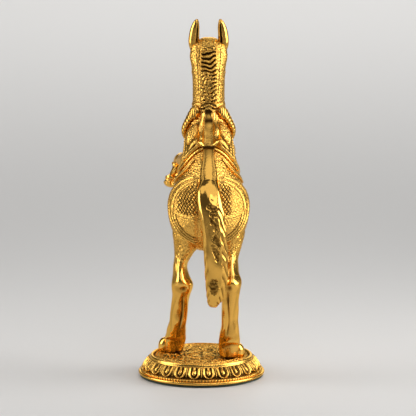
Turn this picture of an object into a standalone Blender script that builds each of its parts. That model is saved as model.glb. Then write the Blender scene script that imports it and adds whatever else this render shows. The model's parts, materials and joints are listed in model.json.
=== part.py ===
"""A rearing horse statue in gold-plated cast metal, standing on its hind legs on a round lotus plinth.

Metres, +Z up. The horse faces +Y, its right side is at +X, and the plinth's centre is the origin.
The castings are lofts through a few elliptical sections. Limbs are coped to the trunk's surface and
pinned into it by round tenons, harness and cloths are skins that follow the trunk's surface, and
threaded studs hold the hind hooves to the plinth's top disc.
"""
import math

import bmesh
import bpy
import numpy as np
from mathutils import Matrix, Vector

# Fits
GAP = 0.0003
SKIN_GAP = 0.0004
TENON_DEPTH = 0.0090

# Plinth
PLINTH_RADIUS = 0.0412
PLINTH_TOP = 0.0134
PLINTH_WALL = 0.0030
FELT_THICKNESS = 0.0010
FELT_INSET = 0.0010
FLANGE_HEIGHT = 0.0021
BEAD_RADIUS = 0.0008
BAND_FOOT_RADIUS = 0.0382
BAND_TOP_RADIUS = 0.0336
RING_WIDTH = 0.0026
RING_RISE = 0.0005
DISC_THICKNESS = 0.0026
LEDGE_WIDTH = 0.0038
PETAL_COUNT = 24
PETAL_RISE = 0.0008
PETAL_BORDER = 0.0007

# Hoof fixings
STUD_RADIUS = 0.0015
STUD_LENGTH = 0.0140
STUD_ENGAGEMENT = 0.0065
WASHER_RADIUS = 0.0034
WASHER_THICKNESS = 0.0008
NUT_RADIUS = 0.0032
NUT_HEIGHT = 0.0024

# Trunk
MID_X = 0.0047
CROTCH_Z = 0.0850
BACK_RISE = 0.0490
BUTTOCK_Y = -0.0310
WITHERS_Y = 0.0200
GROIN_Y = -0.0010
CHEST_Y = 0.0475
RUMP_HALF_WIDTH = 0.0263
BARREL_HALF_WIDTH = 0.0150
NECK_HALF_WIDTH = 0.0104

# Neck and head
NECK_HEIGHT = 0.0395
THROAT_Y = 0.0455
CREST_LEAN = 0.0145
NECK_TENON_RADIUS = 0.0060
HEAD_HALF_WIDTH = 0.0108
HEAD_HALF_DEPTH = 0.0125
HEAD_LENGTH = 0.0500
HEAD_DROOP = math.radians(44.0)
HEAD_BELOW_POLL = 0.0105
HEAD_AHEAD_OF_NECK = 0.0010
HEAD_TENON_RADIUS = 0.0040
EAR_HEIGHT = 0.0217
EAR_HALF_WIDTH = 0.0036
EAR_WALL = 0.0008
EAR_TURN = math.radians(28.0)
EAR_SLIT = math.radians(34.0)
EAR_FOOT_IN = 0.0012
EAR_SPACING = 0.0099
EAR_TIP_SPACING = 0.0082
EAR_BELOW_POLL = 0.0085
EAR_AHEAD = 0.0040
EYE_RADIUS = 0.0017
EYE_SHARE = 0.36
EYE_ANGLE = math.radians(54.0)
MANE_HALF_WIDTH = 0.0052
MANE_RISE = 0.0012
MANE_RIDGES = 13
MANE_RIDGE_HEIGHT = 0.0005

# Hind legs
HOOF_HALF_WIDTH = 0.0066
FETLOCK_HALF_WIDTH = 0.0064
CANNON_HALF_WIDTH = 0.0056
HOCK_HALF_WIDTH = 0.0066
GASKIN_HALF_WIDTH = 0.0047
THIGH_HALF_WIDTH = 0.0097
HIP_SPREAD = 0.0138
HIP_Y = -0.0045
HIP_RISE = 0.0200
LEFT_HOOF_INSET = 0.0125
LEFT_HOOF_Y = 0.0090
LEFT_HOCK_IN = 0.0058
LEFT_HOCK_Y = -0.0125
LEFT_HOCK_Z = 0.0625
RIGHT_HOOF_INSET = 0.0127
RIGHT_HOOF_Y = -0.0085
RIGHT_HOCK_OUT = 0.0010
RIGHT_HOCK_Y = -0.0240
RIGHT_HOCK_Z = 0.0655
HIND_TENON_RADIUS = 0.0040
TOE_HALF_WIDTH = 0.0044
TOE_HALF_DEPTH = 0.0050
TOE_HEIGHT = 0.0092
TOE_OUT = 0.0058
TOE_AHEAD = 0.0020

# Forelegs
SHOULDER_SPREAD = 0.0080
SHOULDER_Y = 0.0330
SHOULDER_ABOVE_TAIL = 0.0075
KNEE_HALF_WIDTH = 0.0048
FORE_HOOF_HALF_WIDTH = 0.0043
LEFT_KNEE_SPREAD = 0.0194
LEFT_KNEE_Y = 0.0700
LEFT_KNEE_DROP = 0.0045
LEFT_FORE_HOOF_SPREAD = 0.0267
LEFT_FORE_HOOF_Y = 0.0620
LEFT_FORE_HOOF_DROP = 0.0204
RIGHT_KNEE_SPREAD = 0.0135
RIGHT_KNEE_Y = 0.0740
RIGHT_KNEE_RISE = 0.0035
RIGHT_FORE_HOOF_SPREAD = 0.0120
RIGHT_FORE_HOOF_Y = 0.0610
RIGHT_FORE_HOOF_DROP = 0.0165
FORE_TENON_RADIUS = 0.0030

# Tail
TAIL_ROOT_Z = 0.1270
TAIL_DOCK_RISE = 0.0102
TAIL_REACH = 0.0112
TAIL_TIP_Z = 0.0530
TAIL_DRIFT = 0.0048
TAIL_ROOT_HALF_WIDTH = 0.0064
TAIL_HALF_WIDTH = 0.0078
TAIL_TENON_RADIUS = 0.0030

# Harness and cloths
STRAP_THICKNESS = 0.0010
STRAP_WIDTH = 0.0032
HIP_STRAP_SAG = 0.0015
HIP_STRAP_START = math.radians(34.0)
HIP_STRAP_SWEEP = math.radians(60.0)
CRUPPER_HALF_WIDTH = 0.0036
CLOTH_THICKNESS = 0.0011
CLOTH_FOOT_RISE = 0.0055
CLOTH_TOP_RISE = 0.0095
CLOTH_RADIUS = 0.0255
BLANKET_THICKNESS = 0.0010
BLANKET_HALF_LENGTH = 0.0088
BLANKET_REACH = math.radians(80.0)
SADDLE_ABOVE_TAIL = 0.0125
SADDLE_SLANT = 0.0195
SADDLE_MARGIN = 0.0016
SADDLE_REACH = math.radians(64.0)
SADDLE_LOBE = 0.0030
SADDLE_SEAT = 0.0008
SADDLE_TONGUE = 0.0060
TONGUE_REACH = math.radians(24.0)
GIRTH_WIDTH = 0.0050
COLLAR_HALF_WIDTH = 0.0031
COLLAR_HALF_DEPTH = 0.0019
COLLAR_BELOW_NECK = 0.0045
COLLAR_SLANT = 0.0250
COLLAR_START = math.radians(30.0)
COLLAR_RIBS = 21
NOSEBAND_SHARE = 0.66
BRIDLE_WIDTH = 0.0026
BRIDLE_THICKNESS = 0.0007

GOLD = (0.83, 0.56, 0.16)
DEEP_GOLD = (0.66, 0.41, 0.09)
STEEL = (0.55, 0.56, 0.58)
FELT = (0.05, 0.07, 0.05)

for stale in list(bpy.data.objects):
    bpy.data.objects.remove(stale, do_unlink=True)

statue = bpy.data.collections.new("rearing_horse_statue")
cutters = bpy.data.collections.new("cutters")
bpy.context.scene.collection.children.link(statue)
bpy.context.scene.collection.children.link(cutters)


class Loft:
    """A smooth body through a few sections, each an ellipse across the path.

    A section is x, y, z of its centre, half width along X and half depth across that. A level loft
    keeps its sections horizontal. Any other turns them square to the path. Angle 0 is the back of an
    upright body or the forehead of the head, and angles grow towards +X.
    """

    def __init__(self, sections, level=True):
        self.rows = np.array(sections, dtype=float)
        self.slopes = np.gradient(self.rows, axis=0)
        self.level = level

    def section(self, share):
        """The row at each share of the way along, by a cubic through the sections."""
        place = np.clip(np.asarray(share, dtype=float), 0.0, 1.0) * (len(self.rows) - 1)
        low = np.minimum(place.astype(int), len(self.rows) - 2)
        t = (place - low)[..., None]
        rise = self.rows[low + 1] - self.rows[low]
        curve = (1.0 - t) * (self.slopes[low] - rise) + t * (rise - self.slopes[low + 1])
        return self.rows[low] + t * rise + t * (1.0 - t) * curve

    def frame(self, share):
        """Side and outward directions of the section at each share."""
        step = 1.0e-3
        share = np.asarray(share)
        along = self.section(share + step)[..., :3] - self.section(share - step)[..., :3]
        if self.level:
            along = np.zeros_like(along) + (0.0, 0.0, 1.0)
        along = along / np.linalg.norm(along, axis=-1, keepdims=True)
        across = np.array((1.0, 0.0, 0.0))
        side = across - along * along[..., :1]
        side = side / np.linalg.norm(side, axis=-1, keepdims=True)
        return side, np.cross(side, along)

    def point(self, share, angle):
        """Points of the surface at each pair of share and angle."""
        share, angle = np.broadcast_arrays(np.asarray(share, dtype=float), np.asarray(angle, dtype=float))
        rows = self.section(share)
        side, out = self.frame(share)
        across = rows[..., 3:4] * np.sin(angle)[..., None] * side
        return rows[..., :3] + across + rows[..., 4:5] * np.cos(angle)[..., None] * out

    def normal(self, share, angle):
        """Outward unit normals, by small steps along and around the surface."""
        step = 1.0e-3
        share = np.clip(share, step, 1.0 - step)
        along = self.point(share + step, angle) - self.point(share - step, angle)
        around = self.point(share, angle + step) - self.point(share, angle - step)
        normal = np.cross(around, along)
        return normal / np.linalg.norm(normal, axis=-1, keepdims=True)

    def skin(self, share, angle, height):
        """Points at a height above the surface."""
        share, angle = np.broadcast_arrays(np.asarray(share, dtype=float), np.asarray(angle, dtype=float))
        return self.point(share, angle) + self.normal(share, angle) * np.asarray(height)[..., None]

    def share_at(self, z):
        """The share along a level loft where it reaches each height z."""
        shares = np.linspace(0.0, 1.0, 400)
        return np.interp(z, self.section(shares)[:, 2], shares)

    def grid(self, rings, around, height=0.0):
        """A closed grid of points over the whole surface."""
        share = np.linspace(0.0, 1.0, rings)[:, None]
        angle = np.linspace(0.0, 2.0 * math.pi, around, endpoint=False)[None, :]
        return self.skin(share, angle, height)


def mesh_object(name, points, faces, collection=statue):
    """A new object from points and faces, with its faces turned outward when it is closed."""
    mesh = bpy.data.meshes.new(name)
    mesh.from_pydata([tuple(p) for p in np.asarray(points).reshape(-1, 3)], [], faces)
    body = bmesh.new()
    body.from_mesh(mesh)
    if all(edge.is_manifold for edge in body.edges):
        bmesh.ops.recalc_face_normals(body, faces=body.faces)
    body.to_mesh(mesh)
    body.free()
    obj = bpy.data.objects.new(name, mesh)
    collection.objects.link(obj)
    if collection is cutters:
        obj.hide_render = True
        obj.display_type = "WIRE"
    return obj


def grid_faces(rows, columns, wrap, start=0):
    """Quads over a grid of rows and columns, closed around the columns when wrap is set."""
    faces = []
    for i in range(rows - 1):
        for j in range(columns if wrap else columns - 1):
            k = (j + 1) % columns
            corners = (i * columns + j, i * columns + k, (i + 1) * columns + k, (i + 1) * columns + j)
            faces.append(tuple(start + corner for corner in corners))
    return faces


def tube(name, grid, collection=statue):
    """A closed solid from a grid of rings, with a flat face over each end ring."""
    rings, around = grid.shape[:2]
    faces = grid_faces(rings, around, True)
    faces.append(tuple(range(around)))
    faces.append(tuple((rings - 1) * around + j for j in range(around)))
    return mesh_object(name, grid, faces, collection)


def slab(name, inner, outer, collection=statue):
    """A closed solid between two open grids of the same size."""
    rows, columns = inner.shape[:2]
    count = rows * columns
    faces = grid_faces(rows, columns, False) + grid_faces(rows, columns, False, count)
    rim = list(range(columns))
    rim += [i * columns + columns - 1 for i in range(1, rows)]
    rim += [(rows - 1) * columns + j for j in range(columns - 2, -1, -1)]
    rim += [i * columns for i in range(rows - 2, 0, -1)]
    for a, b in zip(rim, rim[1:] + rim[:1]):
        faces.append((a, b, count + b, count + a))
    return mesh_object(name, np.concatenate((inner.reshape(-1, 3), outer.reshape(-1, 3))), faces, collection)


def sheet(name, grid, thickness, wrap=False):
    """An open grid of points with its thickness added outward."""
    obj = mesh_object(name, grid, grid_faces(grid.shape[0], grid.shape[1], wrap))
    solidify = obj.modifiers.new("thickness", "SOLIDIFY")
    solidify.thickness = thickness
    solidify.offset = 1.0
    solidify.use_even_offset = True
    return obj


def rod(name, start, end, radius, sides=14, collection=cutters):
    """A straight round or hexagonal bar between two points."""
    start = Vector(start)
    end = Vector(end)
    mesh = bpy.data.meshes.new(name)
    body = bmesh.new()
    turn = (end - start).to_track_quat("Z", "Y").to_matrix().to_4x4()
    place = Matrix.Translation((start + end) / 2.0) @ turn
    bmesh.ops.create_cone(body, cap_ends=True, segments=sides, radius1=radius, radius2=radius,
                          depth=(end - start).length, matrix=place)
    body.to_mesh(mesh)
    body.free()
    obj = bpy.data.objects.new(name, mesh)
    collection.objects.link(obj)
    if collection is cutters:
        obj.hide_render = True
        obj.display_type = "WIRE"
    return obj


def ball(name, centre, radius):
    """A small round boss."""
    mesh = bpy.data.meshes.new(name)
    body = bmesh.new()
    bmesh.ops.create_uvsphere(body, u_segments=10, v_segments=6, radius=radius,
                              matrix=Matrix.Translation(Vector(centre)))
    body.to_mesh(mesh)
    body.free()
    obj = bpy.data.objects.new(name, mesh)
    cutters.objects.link(obj)
    obj.hide_render = True
    obj.display_type = "WIRE"
    return obj


def combine(obj, other, operation):
    """Cut the other object from this one, or join it on."""
    modifier = obj.modifiers.new(other.name, "BOOLEAN")
    modifier.object = other
    modifier.operation = operation
    modifier.solver = "EXACT"


def cut(obj, other):
    combine(obj, other, "DIFFERENCE")


def join(obj, other):
    combine(obj, other, "UNION")


def tenon(holder, limb, name, inside, outside, radius):
    """A round pin on the limb that seats in a socket in the holder, from a point inside the holder."""
    inside = np.array(inside)
    outside = np.array(outside)
    reach = (inside - outside) / np.linalg.norm(inside - outside)
    join(limb, rod(name + "_pin", outside, inside, radius))
    cut(holder, rod(name + "_socket", outside, inside + reach * GAP, radius + GAP))


def finish(obj, colour, roughness, metallic, sharp=math.radians(40.0)):
    """Give the object its own material and smooth shading that keeps its edges."""
    material = bpy.data.materials.new(obj.name + "_finish")
    material.use_nodes = True
    shader = material.node_tree.nodes["Principled BSDF"]
    shader.inputs["Base Color"].default_value = (*colour, 1.0)
    shader.inputs["Roughness"].default_value = roughness
    shader.inputs["Metallic"].default_value = metallic
    obj.data.materials.append(material)
    obj.data.shade_smooth()
    obj.data.set_sharp_from_angle(angle=sharp)


def gold(obj):
    finish(obj, GOLD, 0.24, 1.0)


def engraved_gold(obj):
    finish(obj, DEEP_GOLD, 0.36, 1.0)


# Plinth: a turned casting with a ring of raised petals, hollow below
BASE_BOTTOM = FELT_THICKNESS + GAP
FLANGE_TOP = BASE_BOTTOM + FLANGE_HEIGHT
BAND_FOOT_Z = FLANGE_TOP + 2.0 * BEAD_RADIUS
BAND_TOP_Z = PLINTH_TOP - 0.5 * RING_WIDTH
DISC_BOTTOM = PLINTH_TOP - DISC_THICKNESS
LEDGE_Z = DISC_BOTTOM - GAP
RING_INNER = BAND_TOP_RADIUS - RING_WIDTH
DISC_RADIUS = RING_INNER - GAP


def arc(centre, radii, start, end, count):
    """Points of an elliptical arc in the turning profile."""
    angles = np.linspace(start, end, count)
    return [(centre[0] + radii[0] * math.cos(a), centre[1] + radii[1] * math.sin(a)) for a in angles]


def band_radius(rise):
    """Radius of the petal band at a share of its height: steep at the foot, rounding in at the top."""
    return BAND_FOOT_RADIUS + (BAND_TOP_RADIUS - BAND_FOOT_RADIUS) * rise ** 1.7


def plinth_profile():
    """Half section of the plinth, from its top ring down the outside and up the inside."""
    ring_centre = (BAND_TOP_RADIUS - 0.5 * RING_WIDTH, BAND_TOP_Z)
    ring_height = PLINTH_TOP + RING_RISE - BAND_TOP_Z
    profile = arc(ring_centre, (0.5 * RING_WIDTH, ring_height), math.pi, 0.0, 5)
    for rise in np.linspace(1.0, 0.0, 4)[1:]:
        profile.append((band_radius(rise), BAND_FOOT_Z + rise * (BAND_TOP_Z - BAND_FOOT_Z)))
    bead_centre = (BAND_FOOT_RADIUS, FLANGE_TOP + BEAD_RADIUS)
    profile += arc(bead_centre, (2.0 * BEAD_RADIUS, BEAD_RADIUS), 0.4 * math.pi, -0.4 * math.pi, 3)
    edge = 0.5 * FLANGE_HEIGHT
    profile += arc((PLINTH_RADIUS - edge, BASE_BOTTOM + edge), (edge, edge), 0.5 * math.pi, -0.5 * math.pi, 5)
    inner = BAND_FOOT_RADIUS - PLINTH_WALL
    ledge_inner = RING_INNER - LEDGE_WIDTH
    profile += [(inner, BASE_BOTTOM), (ledge_inner, LEDGE_Z - PLINTH_WALL)]
    profile += [(ledge_inner, LEDGE_Z), (RING_INNER, LEDGE_Z)]
    return profile


def petal_ring():
    """Raised tongues round the band, each wide at the top and rounded at its lower end."""
    rows = np.linspace(0.05, 0.95, 4)
    pitch = 2.0 * math.pi / PETAL_COUNT
    taper = np.sqrt(np.clip(1.0 - ((rows - 0.45) / 0.52).clip(0.0) ** 2, 0.0, 1.0))
    drop = 1.0 - rows
    radius = band_radius(drop)
    half_angle = 0.5 * pitch * (1.0 - PETAL_BORDER / (0.5 * pitch * BAND_TOP_RADIUS)) * taper
    across = np.array((-1.0, -0.6, 0.6, 1.0))
    rise = PETAL_RISE * np.array((0.2, 1.0, 1.0, 0.2))
    points = []
    faces = []
    for petal in range(PETAL_COUNT):
        angle = pitch * (petal + 0.5) + half_angle[:, None] * across
        height = BAND_FOOT_Z + drop[:, None] * (BAND_TOP_Z - BAND_FOOT_Z) + 0.0 * angle
        for lift in (-PETAL_RISE + 0.0 * rise, rise):
            reach = radius[:, None] + lift
            points.append(np.stack((reach * np.cos(angle), reach * np.sin(angle), height), axis=-1))
        template = slab("petal_template", points[-2], points[-1], cutters)
        start = petal * len(template.data.vertices)
        faces += [tuple(start + v for v in polygon.vertices) for polygon in template.data.polygons]
        bpy.data.objects.remove(template, do_unlink=True)
    return mesh_object("petals", np.concatenate([p.reshape(-1, 3) for p in points]), faces, cutters)


def turned(name, profile, steps):
    """A profile of radius and height turned about Z."""
    mesh = bpy.data.meshes.new(name)
    count = len(profile)
    mesh.from_pydata([(r, 0.0, z) for r, z in profile], [(i, (i + 1) % count) for i in range(count)], [])
    obj = bpy.data.objects.new(name, mesh)
    statue.objects.link(obj)
    screw = obj.modifiers.new("turn", "SCREW")
    screw.steps = steps
    screw.render_steps = steps
    screw.use_merge_vertices = True
    screw.merge_threshold = 1.0e-5
    return obj


plinth = turned("plinth", plinth_profile(), 48)
join(plinth, petal_ring())
gold(plinth)

top_disc = rod("plinth_top_disc", (0.0, 0.0, DISC_BOTTOM), (0.0, 0.0, PLINTH_TOP), DISC_RADIUS, 48, statue)
engraved_gold(top_disc)

felt_radius = PLINTH_RADIUS - FELT_INSET
felt_pad = rod("felt_pad", (0.0, 0.0, 0.0), (0.0, 0.0, FELT_THICKNESS), felt_radius, 48, statue)
finish(felt_pad, FELT, 0.95, 0.0)

# Trunk: from the crotch up over the rump and the sloping back to the foot of the neck
NECK_JOINT_Z = TAIL_ROOT_Z + BACK_RISE
TRUNK_HEIGHT = NECK_JOINT_Z - CROTCH_Z
TRUNK_SECTIONS = (
    # height share, back share from buttock to withers, front share from groin to chest, half width
    (0.00, 0.32, 0.00, 0.28 * RUMP_HALF_WIDTH),
    (0.04, 0.20, 0.15, 0.59 * RUMP_HALF_WIDTH),
    (0.11, 0.09, 0.31, 0.84 * RUMP_HALF_WIDTH),
    (0.20, 0.02, 0.45, 0.97 * RUMP_HALF_WIDTH),
    (0.30, 0.00, 0.60, RUMP_HALF_WIDTH),
    (0.40, 0.00, 0.73, 0.92 * RUMP_HALF_WIDTH),
    (0.50, 0.06, 0.86, 0.78 * RUMP_HALF_WIDTH),
    (0.60, 0.21, 0.94, 1.10 * BARREL_HALF_WIDTH),
    (0.70, 0.44, 0.98, BARREL_HALF_WIDTH),
    (0.80, 0.70, 1.00, 0.95 * BARREL_HALF_WIDTH),
    (0.90, 0.91, 1.00, 0.78 * BARREL_HALF_WIDTH),
    (1.00, 1.00, 1.00, NECK_HALF_WIDTH),
)


def upright_section(z, back, front, half_width):
    """A level section from its back and front edges."""
    return (MID_X, 0.5 * (back + front), z, half_width, 0.5 * (front - back))


trunk_rows = []
for rise, back, front, half in TRUNK_SECTIONS:
    back_y = BUTTOCK_Y + back * (WITHERS_Y - BUTTOCK_Y)
    front_y = GROIN_Y + front * (CHEST_Y - GROIN_Y)
    trunk_rows.append(upright_section(CROTCH_Z + rise * TRUNK_HEIGHT, back_y, front_y, half))
trunk_loft = Loft(trunk_rows)
trunk = tube("trunk", trunk_loft.grid(20, 30))
trunk_clear = tube("trunk_clear", trunk_loft.grid(20, 30, GAP), cutters)
gold(trunk)

# Neck: carries on from the trunk's top section to the poll
POLL_Z = NECK_JOINT_Z + NECK_HEIGHT
NECK_FOOT_Z = NECK_JOINT_Z + GAP
NECK_SECTIONS = (
    # height share, crest share of its lean ahead, throat share from chest to throat latch, half width
    (0.00, 0.00, 0.00, NECK_HALF_WIDTH),
    (0.24, 0.06, 0.40, NECK_HALF_WIDTH),
    (0.47, 0.14, 0.90, 1.04 * NECK_HALF_WIDTH),
    (0.68, 0.28, 1.00, 1.12 * NECK_HALF_WIDTH),
    (0.85, 0.52, 1.00, 1.13 * NECK_HALF_WIDTH),
    (0.95, 0.76, 0.90, 0.96 * NECK_HALF_WIDTH),
    (1.00, 1.00, 1.60, 0.50 * NECK_HALF_WIDTH),
)
neck_rows = []
for rise, crest, throat, half in NECK_SECTIONS:
    crest_y = WITHERS_Y + crest * CREST_LEAN
    throat_y = CHEST_Y + throat * (THROAT_Y - CHEST_Y)
    neck_rows.append(upright_section(NECK_FOOT_Z + rise * NECK_HEIGHT, crest_y, throat_y, half))
neck_loft = Loft(neck_rows)
neck = tube("neck", neck_loft.grid(11, 20))
neck_clear = tube("neck_clear", neck_loft.grid(11, 20, GAP), cutters)
gold(neck)
neck_y = 0.5 * (WITHERS_Y + CHEST_Y)
neck_pin_foot = (MID_X, neck_y, NECK_JOINT_Z - TENON_DEPTH)
neck_pin_top = (MID_X, neck_y, NECK_FOOT_Z + TENON_DEPTH)
tenon(trunk, neck, "neck", neck_pin_foot, neck_pin_top, NECK_TENON_RADIUS)

# Head: a tapering loft from inside the neck's top down to the muzzle
HEAD_START_Y = 0.5 * (WITHERS_Y + THROAT_Y) + HEAD_AHEAD_OF_NECK
HEAD_START = np.array((MID_X, HEAD_START_Y, POLL_Z - HEAD_BELOW_POLL))
HEAD_WAY = np.array((0.0, math.cos(HEAD_DROOP), -math.sin(HEAD_DROOP)))
HEAD_SECTIONS = (
    # share of the head's length, half width, half depth
    (0.00, 0.80 * HEAD_HALF_WIDTH, 0.72 * HEAD_HALF_DEPTH),
    (0.15, HEAD_HALF_WIDTH, 0.96 * HEAD_HALF_DEPTH),
    (0.32, 0.98 * HEAD_HALF_WIDTH, HEAD_HALF_DEPTH),
    (0.48, 0.84 * HEAD_HALF_WIDTH, 0.84 * HEAD_HALF_DEPTH),
    (0.64, 0.68 * HEAD_HALF_WIDTH, 0.64 * HEAD_HALF_DEPTH),
    (0.80, 0.62 * HEAD_HALF_WIDTH, 0.56 * HEAD_HALF_DEPTH),
    (0.92, 0.60 * HEAD_HALF_WIDTH, 0.52 * HEAD_HALF_DEPTH),
    (1.00, 0.30 * HEAD_HALF_WIDTH, 0.28 * HEAD_HALF_DEPTH),
)
head_rows = []
for share, half, depth in HEAD_SECTIONS:
    head_rows.append((*(HEAD_START + HEAD_WAY * HEAD_LENGTH * share), half, depth))
head_loft = Loft(head_rows, level=False)
head = tube("head", head_loft.grid(13, 18))
head_clear = tube("head_clear", head_loft.grid(13, 18, GAP), cutters)
for hand in (-1, 1):
    join(head, ball("eye_ball", head_loft.point(EYE_SHARE, hand * EYE_ANGLE), EYE_RADIUS))
cut(head, neck_clear)
gold(head)
head_pin = HEAD_START + HEAD_WAY * 0.16 * HEAD_LENGTH
head_pin_half = np.array((0.0, TENON_DEPTH, 0.0))
tenon(neck, head, "head", head_pin - head_pin_half, head_pin + head_pin_half, HEAD_TENON_RADIUS)


def ear(name, hand):
    """A leaf curled into a cup, with its slit to the rear and a little inward, coped to the head."""
    foot = np.array((MID_X + hand * EAR_SPACING, HEAD_START_Y + EAR_AHEAD, POLL_Z - EAR_BELOW_POLL))
    rise = np.linspace(0.0, 1.0, 8)[:, None]
    turn = np.linspace(1.0, -1.0, 9)[None, :] * (math.pi - 0.5 * EAR_SLIT)
    foot_share = np.clip(1.0 - rise / 0.4, 0.0, 1.0) ** 2
    swell = np.clip((1.0 - rise ** 3) ** 0.55, 0.08, 1.0) * (1.0 - 0.4 * foot_share)
    radius = (EAR_HALF_WIDTH - EAR_WALL) * swell
    lean = hand * ((EAR_TIP_SPACING - EAR_SPACING) * rise ** 2.5 - EAR_FOOT_IN * foot_share)
    way = np.array((-hand * math.sin(EAR_TURN), -math.cos(EAR_TURN)))
    x = foot[0] + lean - radius * (np.cos(turn) * way[0] + np.sin(turn) * way[1])
    y = foot[1] - radius * (np.cos(turn) * way[1] - np.sin(turn) * way[0])
    z = foot[2] + EAR_HEIGHT * rise + 0.0 * turn
    obj = sheet(name, np.stack((x, y, z), axis=-1), EAR_WALL)
    cut(obj, neck_clear)
    cut(obj, head_clear)
    gold(obj)


ear("ear_left", -1)
ear("ear_right", 1)


def neck_angle(share, reach):
    """Angle from the crest at which the neck is a given distance from its mid-plane."""
    return np.arcsin(np.clip(reach / neck_loft.section(share)[..., 3], -1.0, 1.0))


def mane_strip():
    """A strip down the crest with a chevron ridge for each lock of hair."""
    rows = 2 * MANE_RIDGES + 1
    share = np.linspace(0.012, 0.93, rows)[:, None]
    across = np.linspace(-1.0, 1.0, 5)[None, :]
    share = share + 0.03 * np.abs(across) * (1.0 - share)
    angle = neck_angle(share, across * MANE_HALF_WIDTH)
    crest = np.where(np.arange(rows) % 2 == 1, MANE_RIDGE_HEIGHT, 0.0)[:, None]
    height = GAP + MANE_RISE * (1.0 - 0.35 * across ** 2) + crest
    inner = neck_loft.skin(share, angle, GAP + 0.0 * height)
    return slab("mane", inner, neck_loft.skin(share, angle, height))


mane = mane_strip()
engraved_gold(mane)


def forelock_tuft():
    """A tapering lock that falls from the poll down the forehead."""
    share = np.linspace(0.20, 0.46, 7)[:, None]
    across = np.linspace(-1.0, 1.0, 5)[None, :]
    reach = 0.34 * np.cos((share - 0.20) / 0.26 * 0.47 * math.pi) * across
    height = GAP + MANE_RISE * (1.0 - 0.6 * across ** 2) + 0.0 * share
    inner = head_loft.skin(share, reach, GAP + 0.0 * height)
    return slab("forelock", inner, head_loft.skin(share, reach, height))


forelock = forelock_tuft()
cut(forelock, neck_clear)
engraved_gold(forelock)

# Hind legs: level lofts from the hoof up into the rump, coped to the trunk
LOWER_LEG = (
    # height share from hoof to hock, forward share, half width, half depth
    (0.00, 0.00, 0.94 * HOOF_HALF_WIDTH, 1.20 * HOOF_HALF_WIDTH),
    (0.07, 0.01, HOOF_HALF_WIDTH, 1.22 * HOOF_HALF_WIDTH),
    (0.15, 0.09, 1.04 * HOOF_HALF_WIDTH, 1.12 * HOOF_HALF_WIDTH),
    (0.23, 0.24, 1.06 * FETLOCK_HALF_WIDTH, 1.02 * FETLOCK_HALF_WIDTH),
    (0.32, 0.38, FETLOCK_HALF_WIDTH, 1.04 * FETLOCK_HALF_WIDTH),
    (0.45, 0.56, CANNON_HALF_WIDTH, CANNON_HALF_WIDTH),
    (0.64, 0.71, CANNON_HALF_WIDTH, 0.96 * CANNON_HALF_WIDTH),
    (0.82, 0.88, CANNON_HALF_WIDTH, 1.08 * CANNON_HALF_WIDTH),
    (1.00, 1.00, HOCK_HALF_WIDTH, 1.25 * HOCK_HALF_WIDTH),
)
UPPER_LEG = (
    # height share from hock to hip, forward share, sideways share, half width, half depth
    (0.14, 0.22, -0.25, 1.12 * GASKIN_HALF_WIDTH, 1.70 * GASKIN_HALF_WIDTH),
    (0.28, 0.52, -0.40, GASKIN_HALF_WIDTH, 1.85 * GASKIN_HALF_WIDTH),
    (0.42, 0.80, 0.10, 1.18 * GASKIN_HALF_WIDTH, 2.25 * GASKIN_HALF_WIDTH),
    (0.58, 0.97, 0.85, 0.84 * THIGH_HALF_WIDTH, 1.40 * THIGH_HALF_WIDTH),
    (0.78, 1.00, 1.00, THIGH_HALF_WIDTH, 1.60 * THIGH_HALF_WIDTH),
    (1.00, 1.00, 1.00, 0.93 * THIGH_HALF_WIDTH, 1.50 * THIGH_HALF_WIDTH),
)
TOE = (
    # height share, share of the way back to the leg, share of the toe's size
    (0.00, 0.00, 0.94),
    (0.30, 0.00, 1.00),
    (0.62, 0.05, 0.94),
    (0.86, 0.15, 0.72),
    (1.00, 0.30, 0.30),
)
HOOF_BOTTOM = PLINTH_TOP + GAP
HIP_Z = CROTCH_Z + HIP_RISE
LEFT_HOOF_X = LEFT_HOOF_INSET - DISC_RADIUS
RIGHT_HOOF_X = DISC_RADIUS - RIGHT_HOOF_INSET


def toe(name, hand, hoof):
    """The rounded front of a hoof, turned outward from the leg."""
    rows = []
    for rise, back, size in TOE:
        x = hoof[0] + hand * TOE_OUT * (1.0 - back)
        y = hoof[1] + TOE_AHEAD * (1.0 - back)
        rows.append((x, y, HOOF_BOTTOM + rise * TOE_HEIGHT, size * TOE_HALF_WIDTH, size * TOE_HALF_DEPTH))
    return tube(name, Loft(rows).grid(8, 12), cutters)


def hind_leg(name, hand, hoof, hock):
    """One leg from its hoof on the disc, back and up to the hock, then forward into the rump."""
    hip_x = MID_X + hand * HIP_SPREAD
    rows = []
    for rise, ahead, half, depth in LOWER_LEG:
        x = hoof[0] + rise * (hock[0] - hoof[0])
        y = hoof[1] + ahead * (hock[1] - hoof[1])
        rows.append((x, y, HOOF_BOTTOM + rise * (hock[2] - HOOF_BOTTOM), half, depth))
    for rise, ahead, sideways, half, depth in UPPER_LEG:
        x = hock[0] + sideways * (hip_x - hock[0])
        y = hock[1] + ahead * (HIP_Y - hock[1])
        rows.append((x, y, hock[2] + rise * (HIP_Z - hock[2]), half, depth))
    leg = tube(name, Loft(rows).grid(22, 12))
    join(leg, toe(name + "_toe", hand, hoof))
    cut(leg, trunk_clear)
    gold(leg)
    pin_foot = (hip_x, HIP_Y, CROTCH_Z + 0.2 * TENON_DEPTH)
    pin_top = (hip_x, HIP_Y, CROTCH_Z + 2.0 * TENON_DEPTH)
    tenon(trunk, leg, name, pin_top, pin_foot, HIND_TENON_RADIUS)
    return leg


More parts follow.
